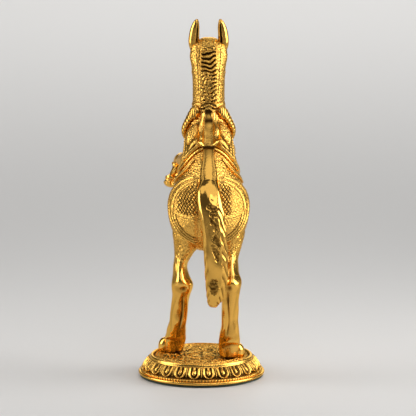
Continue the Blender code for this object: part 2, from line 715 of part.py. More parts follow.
left_hoof = (LEFT_HOOF_X, LEFT_HOOF_Y)
right_hoof = (RIGHT_HOOF_X, RIGHT_HOOF_Y)
left_hock = (LEFT_HOOF_X + LEFT_HOCK_IN, LEFT_HOCK_Y, LEFT_HOCK_Z)
right_hock = (RIGHT_HOOF_X + RIGHT_HOCK_OUT, RIGHT_HOCK_Y, RIGHT_HOCK_Z)
hind_left = hind_leg("hind_leg_left", -1, left_hoof, left_hock)
hind_right = hind_leg("hind_leg_right", 1, right_hoof, right_hock)


# Hoof fixings: a stud screwed up into each hoof, with a washer and nut under the disc
def fixing(side, leg, hoof):
    """The stud of one hoof, its holes, and the washer and nut that draw it down."""
    x, y = hoof
    top = HOOF_BOTTOM + STUD_ENGAGEMENT
    stud = rod("hoof_stud_" + side, (x, y, top - STUD_LENGTH), (x, y, top), STUD_RADIUS, 12, statue)
    finish(stud, STEEL, 0.35, 1.0)
    hole = rod("stud_hole_" + side, (x, y, 0.0), (x, y, top + GAP), STUD_RADIUS + GAP, 12)
    cut(leg, hole)
    cut(top_disc, hole)
    washer_top = DISC_BOTTOM - GAP
    washer_foot = washer_top - WASHER_THICKNESS
    washer = rod("stud_washer_" + side, (x, y, washer_foot), (x, y, washer_top), WASHER_RADIUS, 16, statue)
    nut_top = washer_foot - GAP
    nut = rod("stud_nut_" + side, (x, y, nut_top - NUT_HEIGHT), (x, y, nut_top), NUT_RADIUS, 6, statue)
    for piece in (washer, nut):
        cut(piece, hole)
        finish(piece, STEEL, 0.35, 1.0)


fixing("left", hind_left, left_hoof)
fixing("right", hind_right, right_hoof)


# Forelegs: raised, folded at the knee, coped to the shoulder
SHOULDER_Z = TAIL_ROOT_Z + SHOULDER_ABOVE_TAIL


def foreleg(name, hand, knee, hoof):
    """One raised leg: forearm forward from the shoulder to the knee, cannon folded back to the hoof."""
    shoulder = np.array((MID_X + hand * SHOULDER_SPREAD, SHOULDER_Y, SHOULDER_Z))
    knee = np.array(knee)
    hoof = np.array(hoof)
    half = KNEE_HALF_WIDTH
    tip = FORE_HOOF_HALF_WIDTH
    over = np.array((0.0, 0.06, -0.10)) * np.linalg.norm(knee - shoulder)
    rows = (
        (*shoulder, 1.75 * half, 2.00 * half),
        (*(shoulder + 0.35 * (knee - shoulder)), 1.60 * half, 1.75 * half),
        (*(shoulder + 0.70 * (knee - shoulder)), 1.12 * half, 1.20 * half),
        (*(shoulder + 0.93 * (knee - shoulder)), half, 1.05 * half),
        (*(knee + over), half, 0.98 * half),
        (*(knee + 0.28 * (hoof - knee) + 0.8 * over), 0.82 * half, 0.84 * half),
        (*(knee + 0.58 * (hoof - knee) + 0.3 * over), 0.70 * half, 0.70 * half),
        (*(knee + 0.76 * (hoof - knee)), 0.86 * half, 0.86 * half),
        (*(knee + 0.84 * (hoof - knee)), 0.86 * tip, 0.86 * tip),
        (*(knee + 0.95 * (hoof - knee)), tip, tip),
        (*hoof, 0.82 * tip, 0.82 * tip),
    )
    leg = tube(name, Loft(rows, level=False).grid(18, 10))
    cut(leg, trunk_clear)
    gold(leg)
    way = (knee - shoulder) / np.linalg.norm(knee - shoulder)
    tenon(trunk, leg, name, shoulder, shoulder + way * 2.4 * TENON_DEPTH, FORE_TENON_RADIUS)
    return leg


left_knee = (MID_X - LEFT_KNEE_SPREAD, LEFT_KNEE_Y, SHOULDER_Z - LEFT_KNEE_DROP)
left_fore_hoof = (MID_X - LEFT_FORE_HOOF_SPREAD, LEFT_FORE_HOOF_Y, SHOULDER_Z - LEFT_FORE_HOOF_DROP)
right_knee = (MID_X + RIGHT_KNEE_SPREAD, RIGHT_KNEE_Y, SHOULDER_Z + RIGHT_KNEE_RISE)
right_fore_hoof = (MID_X + RIGHT_FORE_HOOF_SPREAD, RIGHT_FORE_HOOF_Y, SHOULDER_Z - RIGHT_FORE_HOOF_DROP)
foreleg("foreleg_left", -1, left_knee, left_fore_hoof)
foreleg("foreleg_right", 1, right_knee, right_fore_hoof)


# Tail: a ridge that grows out of the croup, turns over and hangs in one thick lock
DOCK = (
    # back share from the root to the hanging lock, rise share, shares of the root's half width and depth
    (-0.98, 1.00, 0.85, 0.56),
    (-0.26, 0.51, 0.98, 0.68),
    (0.34, -0.08, 1.12, 0.78),
)
HANGING_LOCK = (
    # back share, share of the way down to the tip, drift share, shares of the lock's half width and depth
    (0.76, 0.122, 0.30, 1.04, 0.70),
    (0.99, 0.270, 0.72, 0.98, 0.74),
    (1.05, 0.446, 0.90, 1.00, 0.74),
    (1.02, 0.600, 1.00, 0.98, 0.72),
    (0.95, 0.760, 1.00, 0.90, 0.66),
    (0.90, 0.890, 0.85, 0.72, 0.54),
    (0.88, 0.960, 0.66, 0.46, 0.36),
    (0.86, 1.000, 0.58, 0.10, 0.10),
)


def tail_rows():
    """Sections from inside the croup, out and over, then down to the rounded tip."""
    root_y = trunk_loft.point(trunk_loft.share_at(TAIL_ROOT_Z), 0.0)[1]
    hang = BUTTOCK_Y - TAIL_REACH - root_y
    rows = []
    for back, rise, half, depth in DOCK:
        z = TAIL_ROOT_Z + rise * TAIL_DOCK_RISE
        rows.append((MID_X, root_y + back * hang, z, half * TAIL_ROOT_HALF_WIDTH, depth * TAIL_ROOT_HALF_WIDTH))
    for back, down, drift, half, depth in HANGING_LOCK:
        x = MID_X + drift * TAIL_DRIFT
        z = TAIL_ROOT_Z - down * (TAIL_ROOT_Z - TAIL_TIP_Z)
        rows.append((x, root_y + back * hang, z, half * TAIL_HALF_WIDTH, depth * TAIL_HALF_WIDTH))
    return rows


tail_loft = Loft(tail_rows(), level=False)
tail = tube("tail", tail_loft.grid(18, 12))
cut(tail, trunk_clear)
gold(tail)
tail_root = trunk_loft.point(trunk_loft.share_at(TAIL_ROOT_Z), 0.0)
tenon(trunk, tail, "tail", tail_root + (0.0, TENON_DEPTH, 0.0), tail_root - (0.0, 0.6 * TENON_DEPTH, 0.0),
      TAIL_TENON_RADIUS)


# Harness and cloths: skins that follow the trunk
def ribbon(name, loft, share, angle, width, thickness):
    """A flat strap along a route of shares and angles on a surface."""
    middle = loft.skin(share, angle, SKIN_GAP + 0.0 * share)
    normal = loft.normal(share, angle)
    along = np.gradient(middle, axis=0)
    side = np.cross(along, normal)
    side = side / np.linalg.norm(side, axis=-1, keepdims=True)
    grid = np.stack([middle + side * width * at for at in (-0.5, 0.0, 0.5)], axis=1)
    return sheet(name, grid, thickness)


SADDLE_Z = TAIL_ROOT_Z + SADDLE_ABOVE_TAIL


def saddle_level(angle, shift):
    """Height on the trunk of a line across the back that slants down to the belly."""
    return trunk_loft.share_at(SADDLE_Z + SADDLE_SLANT * np.cos(angle) + shift)


def rump_cloth(name, hand):
    """One half of the cloth over the rump, round as seen from behind, with its inner edge beside the tail."""
    tilt = np.linspace(-1.0, 1.0, 12)[:, None] * 0.94
    foot = CROTCH_Z + CLOTH_FOOT_RISE
    top = TAIL_ROOT_Z + CLOTH_TOP_RISE
    share = trunk_loft.share_at(0.5 * (foot + top) + 0.5 * (top - foot) * tilt)
    inner_reach = TAIL_ROOT_HALF_WIDTH + 2.0 * GAP
    inner = np.arcsin(np.clip(inner_reach / trunk_loft.section(share)[..., 3], 0.0, 0.95))
    chord = CLOTH_RADIUS * np.sqrt(1.0 - tilt ** 2)
    outer = np.arcsin(np.clip(chord / trunk_loft.section(share)[..., 3], 0.0, 0.995))
    angle = inner + (outer - inner) * np.linspace(0.0, 1.0, 9)[None, :]
    grid = trunk_loft.skin(share, hand * angle, SKIN_GAP)
    if hand < 0:
        grid = grid[:, ::-1]
    cloth = sheet(name, grid, CLOTH_THICKNESS)
    engraved_gold(cloth)


rump_cloth("rump_cloth_left", -1)
rump_cloth("rump_cloth_right", 1)


def saddle_shift(along, half, angle):
    """Distance up the back from the saddle's middle, drawn out into a tongue along the withers."""
    tongue = SADDLE_TONGUE * np.clip(1.0 - (angle / TONGUE_REACH) ** 2, 0.0, 1.0)
    return half * along + tongue * np.clip(along, 0.0, 1.0)


blanket_angle = np.linspace(-BLANKET_REACH, BLANKET_REACH, 21)[None, :]
blanket_shift = saddle_shift(np.linspace(-1.0, 1.0, 5)[:, None], BLANKET_HALF_LENGTH, blanket_angle)
blanket_grid = trunk_loft.skin(saddle_level(blanket_angle, blanket_shift), blanket_angle, SKIN_GAP)
saddle_blanket = sheet("saddle_blanket", blanket_grid, BLANKET_THICKNESS)
engraved_gold(saddle_blanket)


SADDLE_PROFILE = (
    # share of the way from the spine to the edge, share of the lobe's height
    (0.00, 0.00),
    (0.12, 0.10),
    (0.25, 0.80),
    (0.38, 0.25),
    (0.52, 0.85),
    (0.68, 1.00),
    (0.86, 0.75),
    (1.00, 0.10),
)


def saddle_pad():
    """Two padded lobes on the blanket, with a rolled channel along the spine between them."""
    across = np.linspace(-1.0, 1.0, 17)[None, :]
    along = np.linspace(-1.0, 1.0, 6)[:, None]
    angle = SADDLE_REACH * across + 0.0 * along
    half = BLANKET_HALF_LENGTH - SADDLE_MARGIN
    share = saddle_level(angle, saddle_shift(along, half, angle))
    seat = SKIN_GAP + BLANKET_THICKNESS + SKIN_GAP
    places, levels = zip(*SADDLE_PROFILE)
    lobe = np.interp(np.abs(across), places, levels) * (1.0 - 0.7 * along ** 4)
    height = seat + SADDLE_SEAT + (SADDLE_LOBE - SADDLE_SEAT) * lobe
    inner = trunk_loft.skin(share, angle, seat + 0.0 * height)
    return slab("saddle_seat", inner, trunk_loft.skin(share, angle, height))


saddle_seat = saddle_pad()
gold(saddle_seat)

girth_end = BLANKET_REACH + 0.05
girth_angle = np.linspace(girth_end, 2.0 * math.pi - girth_end, 21)
girth_share = saddle_level(girth_angle, 0.0)
girth = ribbon("girth_strap", trunk_loft, girth_share, girth_angle, GIRTH_WIDTH, STRAP_THICKNESS)
engraved_gold(girth)


def neck_collar():
    """A ribbed roll from beside the withers round the breast, high behind and low in front."""
    rings = 2 * COLLAR_RIBS + 1
    angle = np.linspace(COLLAR_START, 2.0 * math.pi - COLLAR_START, rings)
    level = NECK_JOINT_Z - COLLAR_BELOW_NECK - 0.5 * COLLAR_SLANT * (1.0 - np.cos(angle))
    share = trunk_loft.share_at(level)
    normal = trunk_loft.normal(share, angle)
    middle = trunk_loft.skin(share, angle, SKIN_GAP + COLLAR_HALF_DEPTH + 0.0 * share)
    side = np.cross(normal, np.gradient(middle, axis=0))
    side = side / np.linalg.norm(side, axis=-1, keepdims=True)
    rib = np.where(np.arange(rings) % 2 == 0, 0.72, 1.0)[:, None, None]
    turn = np.linspace(0.0, 2.0 * math.pi, 6, endpoint=False)[None, :, None]
    height = COLLAR_HALF_DEPTH * np.cos(turn) * normal[:, None]
    width = COLLAR_HALF_WIDTH * np.sin(turn) * side[:, None]
    return tube("neck_collar", middle[:, None] + rib * (height + width))


gold(neck_collar())

crupper_top = SADDLE_Z + SADDLE_SLANT - BLANKET_HALF_LENGTH - 2.0 * GAP
crupper_foot = TAIL_ROOT_Z + TAIL_DOCK_RISE + 0.5 * TAIL_ROOT_HALF_WIDTH
crupper_share = trunk_loft.share_at(np.linspace(crupper_foot, crupper_top, 9))
crupper_angle = np.zeros_like(crupper_share)
crupper_width = 2.0 * CRUPPER_HALF_WIDTH
crupper = ribbon("crupper_strap", trunk_loft, crupper_share, crupper_angle, crupper_width, STRAP_THICKNESS)
gold(crupper)


def hip_strap(name, hand):
    """A strap from the saddle's rear corner down the flank towards the stifle."""
    way = np.linspace(0.0, 1.0, 13)
    angle = HIP_STRAP_START + HIP_STRAP_SWEEP * way
    shift = -BLANKET_HALF_LENGTH - 0.5 * STRAP_WIDTH - 2.0 * GAP - HIP_STRAP_SAG * np.sin(math.pi * way)
    share = saddle_level(angle, shift)
    engraved_gold(ribbon(name, trunk_loft, share, hand * angle, STRAP_WIDTH, STRAP_THICKNESS))


hip_strap("hip_strap_left", -1)
hip_strap("hip_strap_right", 1)

# Bridle: a noseband and two cheek straps on the head
noseband_angle = np.linspace(0.0, 2.0 * math.pi, 22, endpoint=False)[None, :]
noseband_half = 0.5 * BRIDLE_WIDTH / HEAD_LENGTH
noseband_share = np.linspace(NOSEBAND_SHARE - noseband_half, NOSEBAND_SHARE + noseband_half, 2)[:, None]
noseband_grid = head_loft.skin(noseband_share, noseband_angle, SKIN_GAP)
engraved_gold(sheet("bridle_noseband", noseband_grid, BRIDLE_THICKNESS, wrap=True))


def cheek_strap(name, hand):
    """A strap from the noseband back along the cheek towards the ear."""
    share = np.linspace(NOSEBAND_SHARE - noseband_half - 2.0 * GAP / HEAD_LENGTH, 0.30, 9)
    angle = math.radians(104.0) - math.radians(16.0) * np.linspace(0.0, 1.0, 9) ** 2
    strap = ribbon(name, head_loft, share, hand * angle, BRIDLE_WIDTH, BRIDLE_THICKNESS)
    cut(strap, neck_clear)
    engraved_gold(strap)


cheek_strap("bridle_cheek_left", -1)
cheek_strap("bridle_cheek_right", 1)
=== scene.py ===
# %% [markdown]
# # A rearing horse on a lotus plinth
# The real object is a cast figure, plated in bright gold and chased with small tools: a horse that stands
# on its hind legs on a round petalled plinth. The castings of the frame have the right proportions, so this
# lesson keeps every place and size and works each surface again on a fine grid, where a chaser's lines,
# ribs, nets and hair can be real relief.

# %% Load the frame
import json
import math

import bpy
import numpy as np
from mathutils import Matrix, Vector

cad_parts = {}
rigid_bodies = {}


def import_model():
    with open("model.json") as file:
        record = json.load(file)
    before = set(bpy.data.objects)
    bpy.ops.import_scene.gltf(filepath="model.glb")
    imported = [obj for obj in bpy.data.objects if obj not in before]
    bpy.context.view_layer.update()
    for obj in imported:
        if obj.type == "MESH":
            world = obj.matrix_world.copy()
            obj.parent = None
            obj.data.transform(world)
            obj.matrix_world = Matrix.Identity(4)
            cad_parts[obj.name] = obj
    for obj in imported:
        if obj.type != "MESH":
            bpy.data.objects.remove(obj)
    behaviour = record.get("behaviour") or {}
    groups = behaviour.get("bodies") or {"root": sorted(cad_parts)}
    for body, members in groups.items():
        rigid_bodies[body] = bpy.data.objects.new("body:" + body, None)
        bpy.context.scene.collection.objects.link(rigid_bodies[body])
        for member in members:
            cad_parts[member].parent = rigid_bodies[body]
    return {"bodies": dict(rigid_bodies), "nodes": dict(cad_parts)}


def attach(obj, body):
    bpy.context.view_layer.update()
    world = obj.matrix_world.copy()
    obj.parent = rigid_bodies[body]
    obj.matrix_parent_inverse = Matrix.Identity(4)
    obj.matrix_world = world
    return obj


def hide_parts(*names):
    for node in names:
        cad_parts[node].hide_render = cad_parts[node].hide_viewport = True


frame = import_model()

scene = bpy.context.scene
kept = set(frame["nodes"].values()) | set(frame["bodies"].values())
for stray in set(bpy.data.objects) - kept:
    bpy.data.objects.remove(stray, do_unlink=True)
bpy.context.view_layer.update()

# %% [markdown]
# ## Camera, floor and light
# The figure was photographed from straight behind, a little above level. A long lens far away keeps its
# upright lines parallel, as a product photographer does. Polished metal shows its surroundings more than
# its own colour, so the room matters. Soft boxes at both sides, above and ahead give the gold its bright
# streaks, and a narrow spread keeps the side boxes off most of the floor. The floor has lamps of its own that
# look straight down, a soft sun gives an even level, and the room fades from pale walls to a dim ceiling.

# %% Camera
VIEW_HEIGHT, VIEW_DISTANCE = math.radians(10.7), 3.0
VIEW_WIDTH, SENSOR = 0.2704, 36.0
aim = Vector((0.00429, 0.0, 0.1106))


def add_object(name, data):
    """A new object at the origin of the scene that shows its data."""
    made = bpy.data.objects.new(name, data)
    scene.collection.objects.link(made)
    return made


camera_data = bpy.data.cameras.new("camera")
camera_data.sensor_width = SENSOR
camera_data.lens = SENSOR * VIEW_DISTANCE / VIEW_WIDTH
camera_data.clip_end = 30.0
camera = add_object("camera", camera_data)
camera.location = aim + VIEW_DISTANCE * Vector((0.0, -math.cos(VIEW_HEIGHT), math.sin(VIEW_HEIGHT)))
camera.rotation_euler = (0.5 * math.pi - VIEW_HEIGHT, 0.0, 0.0)
scene.camera = camera
scene.view_settings.view_transform = "Standard"
print("lens", round(camera_data.lens, 1), "mm")

# %% Lamps
FLOOR_LAMP_Z, FLOOR_LAMP_SIZE = 1.6, (1.8, 1.8)
FLOOR_LAMPS = (
    # name, place over the floor, brightness, spread in degrees
    ("rear_floor_box", 0.0, 1.7, 0.70, 90.0), ("left_floor_box", -1.7, 0.2, 0.70, 90.0),
    ("right_floor_box", 1.7, 0.2, 0.70, 90.0), ("near_floor_box", 0.0, -2.3, 0.80, 60.0))


def soft_box(name, place, target, size, radiance, spread):
    """An area lamp that looks at a target; its power is its mean brightness times pi and its area."""
    lamp = bpy.data.lights.new(name, "AREA")
    lamp.shape = "RECTANGLE"
    lamp.size, lamp.size_y = size
    lamp.spread = math.radians(spread)
    lamp.energy = radiance * math.pi * size[0] * size[1]
    box = add_object(name, lamp)
    box.location = place
    box.rotation_euler = (Vector(target) - Vector(place)).to_track_quat("-Z", "Y").to_euler()


soft_box("right_box", (0.54, -0.06, 0.33), aim, (0.44, 0.56), 1.65, 95.0)
soft_box("left_box", (-0.56, -0.04, 0.33), aim, (0.36, 0.56), 1.25, 95.0)
soft_box("top_box", (0.05, -0.10, 1.10), aim, (0.80, 0.70), 0.9, 180.0)
soft_box("front_box", (0.30, 2.20, 0.70), aim, (1.80, 0.90), 1.6, 180.0)
for name, x, y, radiance, spread in FLOOR_LAMPS:
    soft_box(name, (x, y, FLOOR_LAMP_Z), (x, y, 0.0), FLOOR_LAMP_SIZE, radiance, spread)

SUN_WIDTH, SUN_TILT = math.radians(35.0), (math.radians(35.0), math.radians(20.0), 0.0)
sun = bpy.data.lights.new("even_sun", "SUN")
sun.energy = 0.50
sun.angle = SUN_WIDTH
add_object("even_sun", sun).rotation_euler = SUN_TILT

# %% Room
WALL_LIGHT, CEILING_LIGHT, CEILING_START = 0.28, 0.08, 0.45
world = bpy.data.worlds.new("room")
scene.world = world
world.use_nodes = True
room_tree = world.node_tree
room = room_tree.nodes["Background"]
room.inputs["Color"].default_value = (1.0, 0.98, 0.95, 1.0)
look = room_tree.nodes.new("ShaderNodeTexCoord")
look_parts = room_tree.nodes.new("ShaderNodeSeparateXYZ")
fade = room_tree.nodes.new("ShaderNodeMapRange")
fade.interpolation_type = "SMOOTHSTEP"
for label, value in (("From Max", CEILING_START), ("To Min", WALL_LIGHT), ("To Max", CEILING_LIGHT)):
    fade.inputs[label].default_value = value
room_tree.links.new(look.outputs["Generated"], look_parts.inputs["Vector"])
room_tree.links.new(look_parts.outputs["Z"], fade.inputs["Value"])
room_tree.links.new(fade.outputs["Result"], room.inputs["Strength"])
print("room light", WALL_LIGHT, "at the walls and", CEILING_LIGHT, "overhead")

# %% Floor
FLOOR_HALF, FLOOR_Z = 4.0, -0.0002
FLOOR_COLOUR = (0.62, 0.61, 0.595, 1.0)


def new_material(name, metallic, roughness):
    """A material with two numbers set on its shader, returned with its node tree and that shader."""
    material = bpy.data.materials.new(name)
    material.use_nodes = True
    shader = material.node_tree.nodes["Principled BSDF"]
    shader.inputs["Metallic"].default_value = metallic
    shader.inputs["Roughness"].default_value = roughness
    return material, material.node_tree, shader


floor_mesh = bpy.data.meshes.new("floor")
corner_x = np.array((-1.0, 1.0, 1.0, -1.0)) * FLOOR_HALF
corner_y = np.array((-1.0, -1.0, 1.0, 1.0)) * FLOOR_HALF
corners = np.stack((corner_x, corner_y, np.full(4, FLOOR_Z)), -1)
floor_mesh.from_pydata(corners.tolist(), [], [(0, 1, 2, 3)])
floor = add_object("floor", floor_mesh)
floor_paint, _, floor_shader = new_material("floor_paint", 0.0, 0.6)
floor_shader.inputs["Base Color"].default_value = FLOOR_COLOUR
floor_mesh.materials.append(floor_paint)
print("floor", 2.0 * FLOOR_HALF, "m wide")

# %% [markdown]
# ## Gold that looks handled
# Plated figures are bright on their high places and brown in the recesses, where the polishing cloth never
# reaches. Three small node groups carry that idea to every gold material: one mixes a bright and a deep
# tone, one varies the polish, one makes fine hammered grain. Each mesh brings two values: recess is 1 at the
# bottom of its chased lines, and worked is 1 where a punch has roughened the metal. In the tail's dents and
# the seat's channel recess also holds a painted dark reflection, and at the crupper's upper end a painted
# shade.


# %% Node helpers
def new_group(name, inputs, outputs):
    """An empty shader group with named number or colour sockets."""
    group = bpy.data.node_groups.new(name, "ShaderNodeTree")
    for label, kind, value in inputs:
        socket = group.interface.new_socket(label, in_out="INPUT", socket_type=kind)
        socket.default_value = value
    for label, kind in outputs:
        group.interface.new_socket(label, in_out="OUTPUT", socket_type=kind)
    return group, group.nodes.new("NodeGroupInput"), group.nodes.new("NodeGroupOutput")


def feed(tree, value, socket):
    """Link an output to a socket, or set a constant on the socket."""
    if isinstance(value, bpy.types.NodeSocket):
        tree.links.new(value, socket)
    else:
        socket.default_value = value


def sums(tree, operation, first, second):
    """A Math node of two sockets or numbers."""
    made = tree.nodes.new("ShaderNodeMath")
    made.operation = operation
    feed(tree, first, made.inputs[0])
    feed(tree, second, made.inputs[1])
    return made.outputs[0]


def cloudy(tree, scale, detail=3.0):
    """Cloudy variation on object coordinates; a scale of 1000 gives spots of about a millimetre."""
    where = tree.nodes.new("ShaderNodeTexCoord")
    cloud = tree.nodes.new("ShaderNodeTexNoise")
    cloud.inputs["Scale"].default_value = scale
    cloud.inputs["Detail"].default_value = detail
    tree.links.new(where.outputs["Object"], cloud.inputs["Vector"])
    return cloud.outputs["Fac"]


def colour_mix(tree, share, first, second):
    """A colour mixed from two sockets or colours by a share that is kept between 0 and 1."""
    mix = tree.nodes.new("ShaderNodeMix")
    mix.data_type = "RGBA"
    mix.clamp_factor = True
    tree.links.new(share, mix.inputs["Factor"])
    feed(tree, first, mix.inputs["A"])
    feed(tree, second, mix.inputs["B"])
    return mix.outputs["Result"]


def raise_bump(tree, shader, height, strength, distance):
    """A fine bump on a shader's normal."""
    bump = tree.nodes.new("ShaderNodeBump")
    bump.inputs["Strength"].default_value = strength
    bump.inputs["Distance"].default_value = distance
    tree.links.new(height, bump.inputs["Height"])
    tree.links.new(bump.outputs["Normal"], shader.inputs["Normal"])


# %% Tone
FLOAT, COLOUR = "NodeSocketFloat", "NodeSocketColor"
tone, tone_in, tone_out = new_group(
    "plating_tone",
    [("Recess", FLOAT, 0.0), ("Bright", COLOUR, (0.9, 0.57, 0.15, 1)), ("Deep", COLOUR, (0.2, 0.1, 0.02, 1)),
     ("Mottle", FLOAT, 0.2)],
    [("Color", COLOUR)])
patch = sums(tone, "SUBTRACT", cloudy(tone, 90.0), 0.45)
speck = sums(tone, "MULTIPLY", sums(tone, "SUBTRACT", cloudy(tone, 900.0), 0.5), 0.6)
drift = sums(tone, "MULTIPLY", sums(tone, "ADD", patch, speck), tone_in.outputs["Mottle"])
depth = sums(tone, "ADD", tone_in.outputs["Recess"], drift)
mixed_tone = colour_mix(tone, depth, tone_in.outputs["Bright"], tone_in.outputs["Deep"])
tone.links.new(mixed_tone, tone_out.inputs["Color"])

# %% Polish and grain
polish, polish_in, polish_out = new_group(
    "cloth_polish",
    [("Recess", FLOAT, 0.0), ("Worked", FLOAT, 0.0), ("Base", FLOAT, 0.2), ("Spread", FLOAT, 0.1)],
    [("Roughness", FLOAT)])
smear = sums(polish, "MULTIPLY", cloudy(polish, 260.0), polish_in.outputs["Spread"])
dull = sums(polish, "MULTIPLY", polish_in.outputs["Recess"], 0.25)
matt = sums(polish, "MULTIPLY", polish_in.outputs["Worked"], 0.08)
rough = sums(polish, "ADD", smear, sums(polish, "ADD", dull, matt))
polish.links.new(sums(polish, "ADD", rough, polish_in.outputs["Base"]), polish_out.inputs["Roughness"])

grain, grain_in, grain_out = new_group(
    "hammered_grain",
    [("Worked", FLOAT, 0.0), ("Quiet", FLOAT, 0.1), ("Scale", FLOAT, 900.0)],
    [("Height", FLOAT)])
where = grain.nodes.new("ShaderNodeTexCoord")
cells = grain.nodes.new("ShaderNodeTexVoronoi")
grain.links.new(where.outputs["Object"], cells.inputs["Vector"])
grain.links.new(grain_in.outputs["Scale"], cells.inputs["Scale"])
marks = sums(grain, "ADD", cells.outputs["Distance"], sums(grain, "MULTIPLY", cloudy(grain, 420.0), 0.6))
force = sums(grain, "ADD", grain_in.outputs["Worked"], grain_in.outputs["Quiet"])
grain.links.new(sums(grain, "MULTIPLY", marks, force), grain_out.inputs["Height"])
print("groups:", [group.name for group in bpy.data.node_groups])

# %% Gold materials
BRIGHT, WARM_EDGE = (0.91, 0.505, 0.10), (1.0, 0.84, 0.52)
AMBER, BROWN = (0.13, 0.058, 0.009), (0.045, 0.020, 0.004)


def gold(name, deep, mottle, base, spread, scale, quiet):
    """Metal whose colour, polish and fine bump come from the three groups and the mesh's two values."""
    material, tree, shader = new_material(name, 1.0, base)
    shader.inputs["Specular Tint"].default_value = (*WARM_EDGE, 1.0)
    settings = {tone: {"Bright": (*BRIGHT, 1.0), "Deep": (*deep, 1.0), "Mottle": mottle},
                polish: {"Base": base, "Spread": spread},
                grain: {"Quiet": quiet, "Scale": scale}}
    outputs = {}
    for group, values in settings.items():
        placed = tree.nodes.new("ShaderNodeGroup")
        placed.node_tree = group
        for label, value in values.items():
            placed.inputs[label].default_value = value
        for label in ("recess", "worked"):
            if label.title() in placed.inputs:
                brought = tree.nodes.new("ShaderNodeAttribute")
                brought.attribute_name = label
                tree.links.new(brought.outputs["Fac"], placed.inputs[label.title()])
        outputs[group.name] = placed.outputs[0]
    tree.links.new(outputs["plating_tone"], shader.inputs["Base Color"])
    tree.links.new(outputs["cloth_polish"], shader.inputs["Roughness"])
    raise_bump(tree, shader, outputs["hammered_grain"], 0.8, 0.0005)
    return material


polished_gold = gold("polished_gold", AMBER, 0.30, 0.10, 0.12, 800.0, 0.05)
mirror_gold = gold("mirror_gold", AMBER, 0.25, 0.06, 0.10, 700.0, 0.03)
chased_gold = gold("chased_gold", BROWN, 0.30, 0.11, 0.12, 1500.0, 0.15)
stippled_gold = gold("stippled_gold", BROWN, 0.35, 0.11, 0.12, 1050.0, 0.15)
deep_gold = gold("deep_gold", BROWN, 0.25, 0.10, 0.12, 1800.0, 0.12)
print("gold materials:", [made.name for made in bpy.data.materials if made.name.endswith("_gold")])

# %% [markdown]
# ## Surfaces from sections
# A modeller would call each limb a loft: a few ellipses strung along a path, with a smooth skin through
# them. Written as a function of two numbers, the share of the way along and the angle round, such a skin
# can be sampled as finely as the chasing needs, and a strap or a cloth can be laid on it at a set height.


# %% The loft
def unit_length(vectors):
    """The same directions at length 1."""
    return vectors / np.linalg.norm(vectors, axis=-1, keepdims=True)


class Loft:
    """A skin through ellipses. A row is x, y, z of the centre, half width along X and half depth across.

    point = centre + half width * sin(angle) * side + half depth * cos(angle) * out. Angle 0 is the back of
    an upright body, and angles grow towards +X. A level loft keeps its ellipses horizontal.
    """

    SMALL = 1.0e-3

    def __init__(self, rows, level=True):
        self.rows = np.array(rows, dtype=float)
        self.slopes = np.gradient(self.rows, axis=0)
        self.level = level

    def section(self, share):
        """A cubic through the rows: the straight line between two rows plus a bend that fits their slopes."""
        place = np.clip(np.asarray(share, dtype=float), 0.0, 1.0) * (len(self.rows) - 1)
        low = np.minimum(place.astype(int), len(self.rows) - 2)
        t = (place - low)[..., None]
        run = self.rows[low + 1] - self.rows[low]
        bend = (1.0 - t) * (self.slopes[low] - run) + t * (run - self.slopes[low + 1])
        return self.rows[low] + t * run + t * (1.0 - t) * bend

    def point(self, share, angle):
        """The centre of the section plus its two half axes, weighed by the sine and cosine of the angle."""
        share, angle = np.broadcast_arrays(share, angle)
        rows = self.section(share)
        along = self.section(share + self.SMALL)[..., :3] - self.section(share - self.SMALL)[..., :3]
        if self.level:
            along = np.zeros_like(along) + (0.0, 0.0, 1.0)
        along = unit_length(along)
        side = unit_length(np.array((1.0, 0.0, 0.0)) - along * along[..., :1])
        out = np.cross(side, along)
        across = rows[..., 3:4] * np.sin(angle)[..., None] * side
        return rows[..., :3] + across + rows[..., 4:5] * np.cos(angle)[..., None] * out

    def normal(self, share, angle):
        """The cross product of a small step round and a small step along."""
        share = np.clip(share, self.SMALL, 1.0 - self.SMALL)
        along = self.point(share + self.SMALL, angle) - self.point(share - self.SMALL, angle)
        around = self.point(share, angle + self.SMALL) - self.point(share, angle - self.SMALL)
        return unit_length(np.cross(around, along))

    def skin(self, share, angle, height):
        """The surface moved outward by a height at each place."""
        return self.point(share, angle) + self.normal(share, angle) * np.asarray(height)[..., None]

    def share_at(self, z):
        """The share at which a level loft reaches a height."""
        shares = np.linspace(0.0, 1.0, 600)
        return np.interp(z, self.section(shares)[:, 2], shares)


# %% Relief helpers
MM = 0.001
FULL_TURN = 2.0 * math.pi


def ramp(low, high, count):
    """A column of even values, one for each row of a grid; turned with .T, one for each column."""
    return np.linspace(low, high, count)[:, None]


def spokes(count):
    """Angles once round, one for each column of a closed grid."""
    return np.linspace(0.0, FULL_TURN, count, endpoint=False)[None, :]


def unit(value):
    """The value kept between 0 and 1."""
    return np.clip(value, 0.0, 1.0)


def step(low, high, value):
    """A soft step from 0 at low to 1 at high."""
    t = unit((value - low) / (high - low))
    return t * t * (3.0 - 2.0 * t)


def window(value, rise_low, rise_high, fall_low, fall_high):
    """1 between a soft step up and a soft step down."""
    return step(rise_low, rise_high, value) * (1.0 - step(fall_low, fall_high, value))


def hump(offset, width):
    """A bell that is 1 at offset 0 and falls away over a width."""
    return np.exp(-(offset / width) ** 2)


def lines(place, pitch):
    """A row of lines: 1 on each line and 0 midway between two."""
    return np.abs((place / pitch) % 1.0 - 0.5) * 2.0


def signed(angle):
    """The angle brought between minus pi and pi."""
    return (angle + math.pi) % FULL_TURN - math.pi


def from_spine(angle):
    """The angle measured either way from angle 0, from 0 to pi."""
    return np.abs(signed(angle))


def pebble(points, size, seed):
    """Irregular hammer marks: a sum of waves of one length that run in scattered directions."""
    spread = np.random.default_rng(seed)
    ways = unit_length(spread.normal(size=(10, 3)))
    waves = np.sin(points @ ways.T * (FULL_TURN / size) + spread.uniform(0.0, FULL_TURN, 10))
    return waves.sum(axis=-1) / 3.2


